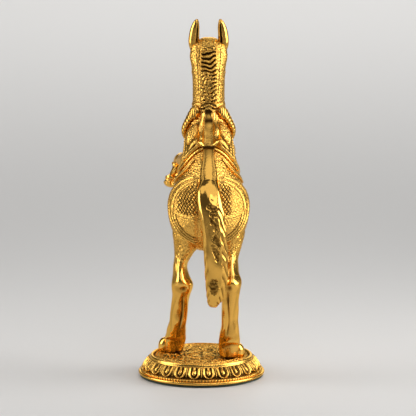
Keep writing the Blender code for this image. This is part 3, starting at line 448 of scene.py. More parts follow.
# %% Mesh helpers
def quads(rows, columns, wrap):
    """Corner numbers of the four-cornered faces of a grid, closed round its columns when wrap is set."""
    i, j = np.meshgrid(np.arange(rows - 1), np.arange(columns if wrap else columns - 1), indexing="ij")
    k = (j + 1) % columns
    low, high = i * columns, (i + 1) * columns
    return np.stack((low + j, low + k, high + k, high + j), -1).reshape(-1, 4)


def tube_mesh(grid):
    """Points and faces of a closed skin: a ring for each row and a flat face on each end ring."""
    rows, columns = grid.shape[:2]
    faces = quads(rows, columns, True).tolist()
    faces.append(list(range(columns))[::-1])
    faces.append([(rows - 1) * columns + j for j in range(columns)])
    return grid.reshape(-1, 3), faces


def slab_mesh(inner, outer):
    """Points and faces of a closed sheet between two open grids."""
    rows, columns = inner.shape[:2]
    count = rows * columns
    top = quads(rows, columns, False)
    first, right = np.arange(columns), np.arange(2, rows + 1) * columns - 1
    last, left = np.arange(count - 2, count - columns - 1, -1), np.arange(rows - 2, 0, -1) * columns
    rim = np.concatenate((first, right, last, left))
    after = np.roll(rim, -1)
    sides = np.stack((rim, after, after + count, rim + count), -1)
    faces = np.concatenate((top + count, top[:, ::-1], sides))
    return np.concatenate((inner.reshape(-1, 3), outer.reshape(-1, 3))), faces.tolist()


def sheet_on(loft, share, angle, under, top):
    """A closed sheet on a loft, between two heights above its skin."""
    return slab_mesh(loft.skin(share, angle, under), loft.skin(share, angle, top))


def outer_values(values):
    """The values of a sheet's outer grid, after zeros for its hidden inner grid."""
    return np.concatenate((0.0 * np.ravel(values), np.ravel(values)))


DOME_RINGS = 10


def domed(grid, height):
    """The grid with its last ring closed by a dome: rings that shrink by a cosine and rise by a sine."""
    last = grid[-1]
    centre = last.mean(axis=0)
    way = unit_length(centre - grid[-2].mean(axis=0))
    turn = np.linspace(0.0, 0.49 * math.pi, DOME_RINGS + 1)[1:, None, None]
    return np.concatenate((grid, centre + (last - centre) * np.cos(turn) + way * height * np.sin(turn)))


def dome_values(values):
    """The values of a grid with zeros for the rings of its dome."""
    return np.concatenate((values, np.zeros((DOME_RINGS, values.shape[1]))))


# %% Piece maker
def enclosed(points, faces):
    """Volume inside the faces, by pyramids to the origin; positive when they point outward."""
    corners = np.array([face for face in faces if len(face) == 4])
    a, b, c, d = (points[corners[:, k]] for k in range(4))
    return float(np.einsum("ij,ij->", a, np.cross(b, c)) + np.einsum("ij,ij->", a, np.cross(c, d))) / 6.0


def add_piece(name, mesh_parts, recess, worked, material, slot, *nodes):
    """One object with its recess and worked values, that rides on the figure and stands for its nodes."""
    points, faces = mesh_parts
    mesh = bpy.data.meshes.new(name)
    mesh.from_pydata(points.tolist(), [], faces)
    mesh.shade_smooth()
    for label, values in (("recess", recess), ("worked", worked)):
        layer = mesh.attributes.new(label, "FLOAT", "POINT")
        spread = np.broadcast_to(np.ravel(values), len(points))
        layer.data.foreach_set("value", unit(spread).astype(np.float32))
    mesh.materials.append(material)
    piece = add_object(name, mesh)
    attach(piece, "root")
    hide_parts(*nodes)
    print(name, len(faces), "faces,", round(enclosed(points, faces) * 1.0e6, 2), "cm3")


# %% [markdown]
# ## Plinth
# The plinth is one turned casting: a smooth bright ring round the top, a band of lotus tongues, a fine beaded
# step and a plain flange. Its skin is a profile of radius and height carried round the axis, and the tongues
# and beads are heights added to the radius, so no loose bead has to be placed.

# %% Plinth profile
FLANGE_RADIUS, FLANGE_EDGE, FLANGE_MID = 0.0412, 0.00105, 0.00235
BAND_FOOT, BAND_TOP = 0.0382, 0.0336
BAND_FOOT_Z, BAND_TOP_Z = 0.0050, 0.0121
BEAD_Z, BEAD_RADII = 0.0042, (0.0016, 0.0008)
RING_MID, RING_RADII = 0.0323, (0.0013, 0.0018)
INSIDE = ((0.0310, 0.0105), (0.0272, 0.0105), (0.0272, 0.0075), (0.0352, 0.0013))


def arc(centre, radii, start, end, count):
    """Radius and height along an elliptical arc, from one angle to another."""
    angle = np.radians(np.linspace(start, end, count))
    return np.stack((centre[0] + radii[0] * np.cos(angle), centre[1] + radii[1] * np.sin(angle)), -1)


band_share = np.linspace(0.0, 1.0, 52)[1:]
band = np.stack((BAND_FOOT + (BAND_TOP - BAND_FOOT) * band_share ** 1.7,
                 BAND_FOOT_Z + (BAND_TOP_Z - BAND_FOOT_Z) * band_share), -1)
flange = arc((FLANGE_RADIUS - FLANGE_EDGE, FLANGE_MID), (FLANGE_EDGE, FLANGE_EDGE), -90.0, 90.0, 14)
beads = arc((BAND_FOOT, BEAD_Z), BEAD_RADII, -80.0, 80.0, 14)
ring = arc((RING_MID, BAND_TOP_Z), RING_RADII, 0.0, 180.0, 18)[1:]
parts = (flange, beads, band, ring, np.array(INSIDE))
profile = np.concatenate(parts)
zone = np.concatenate([np.full(len(part), number) for number, part in enumerate(parts)])[:, None]
print("profile of", len(profile), "points")

# %% Tongues and beads
TONGUES = 24
turn = spokes(TONGUES * 28)
down = 1.0 - unit((profile[:, 1:] - BAND_FOOT_Z) / (BAND_TOP_Z - BAND_FOOT_Z))
side = ((turn / FULL_TURN * TONGUES) % 1.0 - 0.5) * 2.0
half = 0.82 * np.sqrt(unit(1.0 - unit((down - 0.50) / 0.45) ** 2))
edge = half - np.abs(side)
tongue = step(-0.01, 0.09, edge) * step(0.03, 0.09, down)
border = tongue * (1.0 - step(0.22, 0.34, edge))
boss = unit(1.0 - (side / 0.27) ** 2 - ((down - 0.46) / 0.27) ** 2) ** 0.5
boss = np.maximum(boss, 0.7 * hump(side, 0.10) * window(down, 0.03, 0.08, 0.35, 0.50))
bar = hump(np.abs(side) - 1.0, 0.055) * window(down, 0.04, 0.12, 0.74, 0.90)
raised = unit(border + boss + bar)
sunk = (1.0 - raised) * step(0.02, 0.1, down)
bead = np.abs(np.sin(turn * TONGUES * 2.5)) ** 0.6
on_band, on_beads = zone == 2, zone == 1
lift = on_band * (0.78 * border + 0.70 * boss + 0.50 * bar - 0.45 * sunk) + on_beads * 0.42 * (bead - 0.65)
plinth_recess = on_band * (1.0 - raised) ** 2 * step(0.02, 0.08, down) + on_beads * (1.0 - bead) * 0.9
plinth_recess = plinth_recess + 0.8 * (zone == 4)
radius = profile[:, :1] + lift * MM
plinth_grid = np.stack((radius * np.cos(turn), radius * np.sin(turn), profile[:, 1:] + 0.0 * turn), -1)
plinth_points = plinth_grid.reshape(-1, 3)
plinth_faces = quads(len(profile) + 1, turn.size, True) % len(plinth_points)
add_piece("lotus_plinth", (plinth_points, plinth_faces.tolist()), plinth_recess + 0.0 * turn, 0.05, deep_gold,
          "gold", "plinth")

# %% [markdown]
# ## Top disc
# The disc that the hooves stand on is chased all over with leaf scrolls, worn low in the middle. A sheet of
# rings and spokes takes a rosette, a wreath of curling leaves and a border, all as waves in angle and radius,
# which come round to their start by themselves.

# %% Chased disc
DISC_RADIUS, DISC_FOOT, DISC_FACE = 0.0307, 0.0108, 0.01275
DISC_RELIEF = 0.86 * MM
spoke, out = spokes(480), ramp(0.02, 1.0, 130)
rosette = (0.5 + 0.5 * np.cos(10.0 * spoke)) * window(out, 0.02, 0.10, 0.24, 0.32)
curl = np.cos(8.0 * spoke + 5.0 * np.cos(out * 13.0)) * np.cos(out * 30.0 + 3.0 * np.sin(8.0 * spoke))
vein = lines(14.0 * out + 0.9 * np.sin(16.0 * spoke), 1.0)
leaf = step(-0.25, 0.25, curl) * (0.55 + 0.45 * vein) * window(out, 0.36, 0.42, 0.80, 0.86)
border = (0.5 + 0.5 * np.cos(48.0 * spoke)) * hump(out - 0.905, 0.035)
rings = hump(out - 0.34, 0.014) + hump(out - 0.85, 0.012) + hump(out - 0.962, 0.014)
carving = np.clip(rosette + leaf + border + rings, 0.0, 1.1)
disc_height = DISC_FACE + DISC_RELIEF * carving * (1.0 - step(0.975, 1.0, out))
reach = DISC_RADIUS * out
disc_top = np.stack((reach * np.cos(spoke), reach * np.sin(spoke), disc_height), -1)
foot_ring = np.stack((DISC_RADIUS * np.cos(spoke), DISC_RADIUS * np.sin(spoke), DISC_FOOT + 0.0 * spoke), -1)
disc_recess = np.concatenate((0.0 * spoke, (1.0 - unit(carving * 1.4))[::-1]))
disc = tube_mesh(np.concatenate((foot_ring, disc_top[::-1])))
add_piece("chased_disc", disc, disc_recess, 0.5, chased_gold, "engraved_gold", "plinth_top_disc")

# %% [markdown]
# ## Trunk
# The body rises from the rump over a sloping back to the foot of the neck. Muscle is added as low bells on
# the skin: the breast with its furrow, the shoulder blades, the hollow before the thigh. Every strap and
# cloth is laid on the same skin, so the muscle height is a function that they all can ask for. The bare hide
# is roughened all over with a punch, which shows on the loins between the straps.

# %% Trunk skin
MID_X = 0.0047
CROTCH_Z, NECK_JOINT_Z = 0.0850, 0.1760
BUTTOCK_Y, WITHERS_Y, GROIN_Y, CHEST_Y = -0.0310, 0.0200, -0.0010, 0.0475
RUMP, BARREL, NECK = 0.0263, 0.0150, 0.0104
TRUNK_SECTIONS = (
    # height share, back share from buttock to withers, front share from groin to chest, half width
    (0.00, 0.32, 0.00, 0.28 * RUMP), (0.04, 0.20, 0.15, 0.59 * RUMP), (0.11, 0.09, 0.31, 0.84 * RUMP),
    (0.20, 0.02, 0.45, 0.97 * RUMP), (0.30, 0.00, 0.60, RUMP), (0.40, 0.00, 0.73, 0.92 * RUMP),
    (0.50, 0.06, 0.86, 0.78 * RUMP), (0.60, 0.21, 0.94, 1.10 * BARREL), (0.70, 0.44, 0.98, BARREL),
    (0.80, 0.70, 1.00, 0.95 * BARREL), (0.90, 0.91, 1.00, 0.78 * BARREL), (1.00, 1.00, 1.00, NECK))
MUSCLES = (
    # height in millimetres, place and spread in height, place and spread in the angle from the spine
    (0.9, 0.1500, 0.012, 2.75, 0.30), (-0.8, 0.1480, 0.016, math.pi, 0.12), (0.7, 0.1440, 0.010, 2.05, 0.28),
    (-0.7, 0.1250, 0.008, 1.75, 0.30), (-1.2, 0.0930, 0.010, 0.0, 0.16))


def upright(z, back, front, half_width):
    """A level row from its back and front edges."""
    return MID_X, 0.5 * (back + front), z, half_width, 0.5 * (front - back)


def muscle(z, angle):
    """Height of breast, furrow, shoulder blade, flank and cleft: bells in height and in the angle."""
    turn = from_spine(angle)
    return MM * sum(height * hump(z - at, over) * hump(turn - side, spread)
                    for height, at, over, side, spread in MUSCLES)


trunk = Loft([upright(CROTCH_Z + rise * (NECK_JOINT_Z - CROTCH_Z), BUTTOCK_Y + back * (WITHERS_Y - BUTTOCK_Y),
                      GROIN_Y + front * (CHEST_Y - GROIN_Y), half)
              for rise, back, front, half in TRUNK_SECTIONS])
print("trunk of", len(TRUNK_SECTIONS), "sections and", len(MUSCLES), "muscles")

# %% Trunk casting
LINE_Z, LINE_PITCH, LINE_WIDTH = 0.1712, 0.0022, 0.0006
rows, around = ramp(0.0, 1.0, 300), spokes(320)
turn = from_spine(around)
trunk_z = trunk.section(rows)[..., 2]
hide = pebble(trunk.point(rows, around), 1.6 * MM, 3)
neck_lines = hump(trunk_z - LINE_Z, LINE_WIDTH) + hump(trunk_z - LINE_Z - LINE_PITCH, LINE_WIDTH)
mane_foot = step(0.1720, 0.1730, trunk_z) * (1.0 - step(0.46, 0.54, turn))
curl = lines(trunk_z / MM + 5.0 * turn, 2.4)
lift = muscle(trunk_z, around) + (0.24 * neck_lines + 0.10 * hide + mane_foot * (0.4 + 0.7 * curl)) * MM
trunk_recess = 0.6 * hump(trunk_z - LINE_Z - 0.5 * LINE_PITCH, 0.0005) + 0.30 * unit(-hide)
trunk_recess = trunk_recess + mane_foot * (1.0 - curl)
trunk_mesh = tube_mesh(trunk.skin(rows, around, lift))
add_piece("horse_trunk", trunk_mesh, trunk_recess, 0.5, stippled_gold, "gold", "trunk")

# %% [markdown]
# ## Rump cloths
# Each buttock carries half of a round cloth, chased as a net with a knot in every mesh, edged by an arch of
# two fine ridges above and a triple hem below. The sheet is laid on the trunk's skin, and the distance to its
# rounded edge, worked out once as a share of an ellipse, places every ridge of the border.

# %% Net and hem
SKIN_GAP = 0.0004
CLOTH_FOOT, CLOTH_TOP, CLOTH_RADIUS = 0.0905, 0.1365, 0.0255
CLOTH_MID, CLOTH_HALF = 0.5 * (CLOTH_FOOT + CLOTH_TOP), 0.5 * (CLOTH_TOP - CLOTH_FOOT)
EDGE_SCALE, NET_PITCH, NET_SLOPE = 24.0, 2.3, 0.75
SWAG_Z, SWAG_MID = 109.5, 12.0


def cloth_relief(tilt, reach, up, net_fade_reach):
    """Heights and recess of the cloth in millimetres, from its place in the ellipse of its outline.

    Past the fade distance from the tail most of the net is left out, its relief and its dark lines both: the
    smoother relief lets the lamps' highlight show, and the missing dark lines are a painted highlight,
    earlier on the right cloth.
    """
    inset = (1.0 - np.sqrt((reach / (CLOTH_RADIUS / MM)) ** 2 + tilt ** 2)) * EDGE_SCALE
    upper = step(-0.25, 0.05, tilt)
    arch = hump(inset - 0.6, 0.34) + hump(inset - 2.7, 0.34)
    hem = hump(inset - 0.6, 0.40) + hump(inset - 2.1, 0.42) + hump(inset - 3.6, 0.42)
    arch_groove = 0.6 * hump(inset - 1.4, 0.30) + 0.8 * hump(inset - 3.5, 0.34)
    hem_groove = hump(inset - 1.35, 0.30) + hump(inset - 2.85, 0.30) + hump(inset - 4.4, 0.35)
    ridge = upper * arch + (1.0 - upper) * hem
    groove = upper * arch_groove + (1.0 - upper) * hem_groove
    field = step(3.9, 4.6, inset)
    swag = up - SWAG_Z - 0.020 * (reach - SWAG_MID) ** 2
    net = field * step(0.5, 2.5, swag) * (1.0 - 0.75 * step(net_fade_reach, net_fade_reach + 4.0, reach))
    wobble = 0.35 * np.sin(0.9 * up) + 0.3 * np.sin(0.8 * reach + 1.0)
    first = lines(reach * 1.15 + NET_SLOPE * up + wobble, NET_PITCH)
    second = lines(reach * 1.15 - NET_SLOPE * up + wobble, NET_PITCH)
    cord = np.maximum(step(0.60, 0.92, first), step(0.60, 0.92, second))
    knot = 1.0 - step(0.05, 0.50, np.maximum(first, second))
    swag_line = field * (hump(swag, 0.32) + hump(swag + 1.5, 0.32))
    rough = 1.0 - 0.75 * net - 0.8 * unit(ridge)
    relief = 0.42 * ridge - 0.22 * groove + net * (0.36 * knot - 0.52 * cord) + 0.16 * swag_line
    recess = 0.9 * groove + 1.4 * net * cord + 0.5 * field * hump(swag + 0.75, 0.35)
    return relief, recess, rough


# %% Cloth halves
TAIL_CLEAR = 0.0070


def rump_cloth(name, hand, seed, net_fade_reach):
    """Half of the cloth: tilt runs from its foot to its top, the angle from the tail to the rounded edge."""
    tilt = ramp(-0.94, 0.94, 210)
    z = CLOTH_MID + CLOTH_HALF * tilt
    share = trunk.share_at(z)
    half_width = trunk.section(share)[..., 3]
    inner = np.arcsin(np.clip(TAIL_CLEAR / half_width, 0.0, 0.95))
    outer = np.arcsin(np.clip(CLOTH_RADIUS * np.sqrt(1.0 - tilt ** 2) / half_width, 0.0, 0.995))
    angle = inner + (outer - inner) * ramp(0.0, 1.0, 170).T
    reach = half_width * np.sin(angle) / MM
    relief, recess, rough = cloth_relief(tilt, reach, z / MM, net_fade_reach)
    base = muscle(z, angle) + SKIN_GAP
    punch = pebble(trunk.point(share, hand * angle), 1.5 * MM, seed)
    recess = recess + 0.25 * rough * unit(-punch)
    relief = 0.05 + step(7.0, 9.5, reach) * (0.80 + relief) + 0.07 * punch * rough
    top = trunk.skin(share, hand * angle, base + relief * MM)
    under = trunk.skin(share, hand * angle, base - 0.3 * MM)
    order = slice(None, None, hand)
    add_piece(name + "_chased", slab_mesh(under[:, order], top[:, order]), outer_values(recess[:, order]),
              outer_values((0.15 + 0.3 * rough)[:, order]), chased_gold, "engraved_gold", name)


# The net fades earlier on the right cloth: a painted highlight on that side, together with smoother relief.
rump_cloth("rump_cloth_left", -1, 11, 17.0)
rump_cloth("rump_cloth_right", 1, 12, 11.5)

# %% [markdown]
# ## Saddle
# A blanket lies across the back with pleated flaps at the sides, and on it a padded seat: two plump lobes,
# and between them a smooth channel along the spine with a rolled edge on each side that runs up over the
# withers as a tongue. Heights across the back are bells and domes in the angle from the spine, so that both
# sides match without a mirror.

# %% Saddle lines
SADDLE_Z, SADDLE_SLANT = 0.1395, 0.0195
TONGUE_RISE, TONGUE_REACH = 0.0060, math.radians(24.0)


def saddle_share(angle, shift):
    """Share of the trunk along a line over the back that slants down towards the belly."""
    return trunk.share_at(SADDLE_Z + SADDLE_SLANT * np.cos(angle) + shift)


def saddle_shift(along, half, angle):
    """Distance up the back from the saddle's middle, drawn out into the tongue."""
    tongue = TONGUE_RISE * unit(1.0 - (angle / TONGUE_REACH) ** 2)
    return half * along + tongue * unit(along)


def laid(share, angle):
    """Height of what lies on the trunk: the muscle below it and a small gap."""
    return muscle(trunk.section(share)[..., 2], angle) + SKIN_GAP


# %% Blanket
BLANKET_HALF, BLANKET_REACH = 0.0088, math.radians(80.0)
along = ramp(-1.0, 1.0, 110)
angle = ramp(-BLANKET_REACH, BLANKET_REACH, 300).T + 0.0 * along
turn = np.abs(angle)
share = saddle_share(angle, saddle_shift(along, BLANKET_HALF, angle))
rear = (1.0 + along) * BLANKET_HALF / MM
beside, pleated = step(0.20, 0.30, turn), step(1.10, 1.14, turn)
piping = beside * (hump(rear - 0.6, 0.45) + hump(rear - 2.2, 0.45))
between = beside * hump(rear - 1.4, 0.35)
pleat = pleated * lines((turn - 1.13) * 15.0, 1.25)
fringe = window(rear, 2.6, 3.0, 4.4, 4.8) * lines(angle * 15.0, 1.0) * beside
gap_shadow = (1.0 - beside) * (1.0 - step(2.0, 3.0, rear))
relief = 0.40 * piping + 0.70 * pleat * (1.0 - piping) - 0.18 * fringe
base = laid(share, angle)
blanket = sheet_on(trunk, share, angle, base - 0.3 * MM, base + (0.65 + relief) * MM)
blanket_recess = 0.85 * between + 0.7 * fringe + gap_shadow + 0.8 * pleated * (1.0 - pleat) ** 2
add_piece("saddle_blanket_chased", blanket, outer_values(blanket_recess), outer_values(0.2 + 0.0 * relief),
          chased_gold, "engraved_gold", "saddle_blanket")

# %% Seat
SEAT_REACH, SEAT_HALF, ROLL_ANGLE, LOBE_ANGLE = math.radians(64.0), 0.0074, 0.325, 0.73
along = ramp(-1.0, 1.0, 112)
angle = SEAT_REACH * ramp(-1.0, 1.0, 236).T + 0.0 * along
turn = np.abs(angle)
share = saddle_share(angle, saddle_shift(along, SEAT_HALF, angle))
wave = 1.0 + 0.22 * np.sin(6.5 * along + 1.2 * np.sign(angle))
stout = 1.0 + 0.30 * step(-0.1, 0.1, angle)
roll = wave * stout * hump(turn - ROLL_ANGLE - 0.02 * np.sin(5.0 * along), 0.10 * stout)
roll = roll * (1.0 - step(0.93, 1.0, np.abs(along)))
oval = ((turn - LOBE_ANGLE) / 0.27) ** 2 + (unit(np.abs(along - 0.38) - 0.12) / 0.48) ** 2
lobe = np.sqrt(unit(1.0 - oval))
flap = step(0.98, 1.04, turn)
cantle = hump(along + 0.92, 0.06) * step(0.28, 0.34, turn)
knob = hump(along + 0.84, 0.11) * hump(turn - ROLL_ANGLE, 0.09)
pocket = hump(along + 0.56, 0.17) * hump(turn - 0.68, 0.22)
channel = 1.0 - step(0.16, 0.26, turn)
punch = pebble(trunk.point(share, angle), 1.8 * MM, 21)
seat_height = 0.9 - 0.7 * channel + 1.9 * roll + 2.3 * lobe + 1.4 * cantle + 1.0 * knob - 0.7 * pocket
seat_height = seat_height + 0.5 * flap + 0.08 * punch * step(0.1, 0.5, lobe)
base = laid(share, angle) + 0.5 * MM
seat = sheet_on(trunk, share, angle, base - 0.2 * MM, base + seat_height * MM)
# Painted dark reflection in the spine channel: darker towards its upper end and in cloudy patches, in colour
# only.
channel_painted_reflection = 0.3 + 0.3 * pebble(trunk.point(share, angle), 7.0 * MM, 22) + 0.7 * step(0.05, 0.45, along)
valley = hump(oval - 1.12, 0.16) * unit(1.0 - 1.4 * roll - cantle) + 1.2 * pocket
# Patina in the valleys and punch marks, and painted dark reflection in the channel.
seat_patina_and_painted_reflection = 0.95 * valley + 0.3 * lobe * unit(-punch) + 0.9 * channel * channel_painted_reflection
add_piece("saddle_seat_padded", seat, outer_values(seat_patina_and_painted_reflection), outer_values(0.7 * step(0.1, 0.4, lobe)),
          stippled_gold, "gold", "saddle_seat")

# %% [markdown]
# ## Straps and collar
# The harness is flat strap with a raised line along each edge, and the collar is a thick ribbed roll from
# beside the withers round the breast. A strap is a short cross profile carried along a route on the skin. The
# collar carries an ellipse whose size swells and shrinks with every rib. A curve with a bevel would be
# quicker, but it would not follow the muscle.


# %% Strap maker
def crossways(middle, normal):
    """Directions across a route: its own direction crossed with the skin's normal."""
    return unit_length(np.cross(np.gradient(middle, axis=0), normal))


def strap(name, node_name, loft, share, angle, width, thickness, lift, edges=0.5):
    """A flat band along a route on a loft: across it the height is the thickness plus two edge lines."""
    middle, normal = loft.skin(share, angle, lift), loft.normal(share, angle)
    way = crossways(middle, normal)
    across = np.linspace(-0.5, 0.5, 29)[None, :, None]
    out = np.abs(across)
    line = edges * hump(out - 0.36, 0.07) - 0.5 * edges * hump(out - 0.16, 0.08)
    crown = thickness * (1.0 - 0.5 * step(0.43, 0.5, out) + line)
    flat = middle[:, None] + way[:, None] * width * across
    recess = 0.6 * hump(out[..., 0] - 0.20, 0.09) + 0.0 * share[:, None]
    mesh_parts = slab_mesh(flat - 0.3 * MM * normal[:, None], flat + crown * normal[:, None])
    add_piece(name, mesh_parts, outer_values(recess), 0.1, chased_gold, "engraved_gold", node_name)


# %% Hip straps and girth
HIP_STRAP_WIDTH, GIRTH_WIDTH = 0.0030, 0.0050
way = np.linspace(0.0, 1.0, 120)
angle = math.radians(34.0) + math.radians(60.0) * way
share = saddle_share(angle, -BLANKET_HALF - 0.0022 - 0.0015 * np.sin(math.pi * way))
lift = laid(share, angle)
for name, hand in (("hip_strap_left", -1), ("hip_strap_right", 1)):
    strap(name + "_lined", name, trunk, share, hand * angle, HIP_STRAP_WIDTH, 0.50 * MM, lift, 0.35)

angle = np.linspace(BLANKET_REACH + 0.05, FULL_TURN - BLANKET_REACH - 0.05, 260)
share = saddle_share(angle, 0.0)
strap("girth_lined", "girth_strap", trunk, share, angle, GIRTH_WIDTH, 0.9 * MM, laid(share, angle))

# %% Crupper
CRUPPER_FOOT, CRUPPER_TOP = 0.1320, 0.1496
way, across = ramp(0.0, 1.0, 90), ramp(-1.0, 1.0, 56).T
share = trunk.share_at(CRUPPER_FOOT + (CRUPPER_TOP - CRUPPER_FOOT) * way)
angle = np.arcsin(across * (5.4 - 1.9 * step(0.0, 1.0, way)) * MM / trunk.section(share)[..., 3])
edge = hump(np.abs(across) - 0.80, 0.12)
crown = 0.25 + (0.9 + 2.3 * (1.0 - way) ** 4) * np.sqrt(1.0 - 0.92 * across ** 2) + 0.40 * edge * way
crupper = sheet_on(trunk, share, angle, 0.0 * crown, SKIN_GAP + crown * MM)
# Patina in the two edge lines; the darker upper end, under the saddle's edge, is painted shade.
crupper_lines_and_painted_shade = 0.35 * hump(np.abs(across) - 0.62, 0.08) + 0.65 * step(0.62, 1.0, way)
add_piece("crupper_smooth", crupper, outer_values(crupper_lines_and_painted_shade), 0.05, polished_gold, "gold",
          "crupper_strap")

# %% Ribbed collar
RIBS, RIB_STEPS = 40, 10
COLLAR_START = math.radians(30.0)
COLLAR_DEPTH, COLLAR_WIDTH = 0.0020, 0.0036
COLLAR_TOP, COLLAR_FALL, SHOULDER_RISE = NECK_JOINT_Z - 0.0045, 0.0125, 0.0024
travel = np.linspace(0.0, RIBS, RIBS * RIB_STEPS + 1)
angle = COLLAR_START + (FULL_TURN - 2.0 * COLLAR_START) * travel / RIBS
collar_z = COLLAR_TOP - COLLAR_FALL * (1.0 - np.cos(angle))
collar_z = collar_z + SHOULDER_RISE * hump(from_spine(angle) - 0.95, 0.40)
share = trunk.share_at(collar_z)
normal = trunk.normal(share, angle)
middle = trunk.skin(share, angle, muscle(trunk.section(share)[..., 2], angle) + 0.8 * COLLAR_DEPTH)
way = crossways(middle, normal)
turn = spokes(32)
rib = np.abs(np.sin(math.pi * (travel[:, None] + 0.14 * np.sin(turn)))) ** 0.6
taper = 0.35 + 0.65 * step(0.0, 1.2, travel) * step(0.0, 1.2, RIBS - travel)
size = (1.0 - (1.0 - rib) * (0.17 + 0.17 * np.cos(turn))) * taper[:, None]
broad = COLLAR_WIDTH * (1.0 + 0.30 * hump(from_spine(angle) - 0.75, 0.45))[:, None]
ring = (size * np.cos(turn) * COLLAR_DEPTH)[..., None] * normal[:, None]
ring = ring + (size * np.sin(turn) * broad)[..., None] * way[:, None]
collar = tube_mesh(middle[:, None] + ring)
add_piece("ribbed_collar", collar, 0.95 * (1.0 - rib), 0.1, polished_gold, "gold", "neck_collar")

# %% [markdown]
# ## Neck and mane
# The neck carries on from the trunk, chased with short strokes like feathers. The mane is a strip down the
# crest: smooth at the poll, then fine hair, then a V-shaped ridge for each lock, with a plain bright border.
# Sculpting could give such locks, but a formula in height keeps them evenly spaced down the crest.

# %% Neck
POLL_Z, NECK_FOOT_Z = 0.2155, 0.1763
CREST_LEAN, THROAT_Y, EAR_ROOT_Z = 0.0145, 0.0455, 204.5
NECK_SECTIONS = (
    # height share, crest share of its lean ahead, throat share from chest to throat latch, half width
    (0.00, 0.00, 0.00, NECK), (0.24, 0.06, 0.40, NECK), (0.47, 0.14, 0.90, 1.04 * NECK),
    (0.68, 0.28, 1.00, 1.12 * NECK), (0.85, 0.52, 1.00, 1.13 * NECK), (0.95, 0.76, 0.90, 0.96 * NECK),
    (1.00, 1.00, 1.60, 0.50 * NECK))
neck = Loft([upright(NECK_FOOT_Z + rise * (POLL_Z - NECK_JOINT_Z), WITHERS_Y + crest * CREST_LEAN,
                     CHEST_Y + throat * (THROAT_Y - CHEST_Y), half)
             for rise, crest, throat, half in NECK_SECTIONS])
rows, around = ramp(0.0, 1.0, 240), spokes(224)
turn = from_spine(around)
neck_z = neck.section(rows)[..., 2] / MM
marks = pebble(neck.point(rows, around), 1.7 * MM, 31)
stroke = lines(turn * 6.0 + 0.55 * neck_z + 0.8 * marks, 1.0)
beside = step(0.50, 0.60, turn) + 0.0 * rows
side_line = hump(turn - 0.70, 0.035) * window(rows, 0.05, 0.12, 0.70, 0.82)
ear_root = hump(neck_z - EAR_ROOT_Z, 3.2) * hump(turn - 1.45, 0.40)
relief = beside * (0.08 * marks + 0.06 * stroke) - 0.30 * side_line + 0.55 * ear_root
neck_grid = domed(neck.skin(rows, around, relief * MM), 1.0 * MM)
neck_recess = beside * (0.20 * (1.0 - stroke) ** 2 + 0.32 * unit(-marks)) + 0.7 * side_line
add_piece("horse_neck", tube_mesh(neck_grid), dome_values(neck_recess), dome_values(0.15 + 0.35 * beside),
          stippled_gold, "gold", "neck")

# %% Mane
MANE_HALF, LOCK_PITCH = 0.0052, 2.73
DEEP_Z, HAIR_Z, SMOOTH_Z = 194.0, 208.0, 212.0
share, across = ramp(0.012, 0.955, 400), ramp(-1.0, 1.0, 66).T
out = np.abs(across)
angle = np.arcsin(np.clip(across * MANE_HALF / neck.section(share)[..., 3], -1.0, 1.0))
mane_z = neck.section(share)[..., 2] / MM
sway = 0.55 * np.sin(3.4 * across + 0.35 * mane_z) + 0.25 * np.sin(7.0 * across)
lock = ((mane_z - 1.1 * out - 0.5 * across + sway) / LOCK_PITCH) % 1.0
ridge = np.sin(math.pi * lock ** 0.65) ** 1.3
marks = pebble(neck.point(share, angle), 1.5 * MM, 32)
hair = lines(mane_z + 1.6 * across - 0.8 * out, 1.5)
ridged = 1.0 - step(HAIR_Z, HAIR_Z + 2.0, mane_z)
deep = ridged * step(DEEP_Z, DEEP_Z + 4.0, mane_z)
teeth = ridged * step(0.05, 0.45, across)
force = np.clip(0.45 * ridged + 1.0 * deep + 0.6 * teeth, 0.0, 1.4)
hair_zone = (1.0 - ridged) * (1.0 - step(SMOOTH_Z, SMOOTH_Z + 2.0, mane_z))
border = hump(out - 0.92, 0.07) * (1.0 - step(HAIR_Z + 2.0, SMOOTH_Z + 1.0, mane_z))
inside = 1.0 - step(0.80, 0.88, out)
relief = inside * (force * ridge + 0.16 * (1.0 - deep) * marks + hair_zone * 0.35 * hair) + 0.7 * border
crest = (0.3 + 0.75 * (1.0 - 0.35 * across ** 2) + relief) * MM
mane_recess = force * (1.0 - ridge) + hair_zone * 0.6 * (1.0 - hair) + 0.6 * (1.0 - deep) * unit(-marks)
mane = sheet_on(neck, share, angle, 0.0 * crest - 0.2 * MM, crest)
add_piece("mane_locks", mane, outer_values(inside * mane_recess), 0.1, deep_gold, "engraved_gold", "mane")

# %% [markdown]
# ## Head
# The head is turned down and away, so its face is on the far side, with cheek, eyes, nostrils and mouth as
# small bells and dents on its skin. The ears are leaves curled into cups, each with a slit to the rear. The
# forelock and the bridle lie on the same skin, as the cloths lie on the trunk.

# %% Head and face
HEAD_WIDTH, HEAD_DEPTH, HEAD_LENGTH = 0.0108, 0.0125, 0.0500
DROOP, EYE, NOSTRIL = math.radians(44.0), (0.375, 0.96), (0.905, 0.85)
HEAD_Y = 0.5 * (WITHERS_Y + THROAT_Y) + 0.0010
head_start = np.array((MID_X, HEAD_Y, POLL_Z - 0.0105))
head_way = np.array((0.0, math.cos(DROOP), -math.sin(DROOP)))
HEAD_SECTIONS = (
    # share of the length, shares of the half width and half depth
    (0.00, 0.80, 0.72), (0.15, 1.00, 0.96), (0.32, 0.98, 1.00), (0.48, 0.84, 0.84), (0.64, 0.68, 0.64),
    (0.80, 0.62, 0.56), (0.92, 0.60, 0.52), (1.00, 0.30, 0.28))
head = Loft([(*(head_start + head_way * HEAD_LENGTH * place), half * HEAD_WIDTH, depth * HEAD_DEPTH)
             for place, half, depth in HEAD_SECTIONS], level=False)


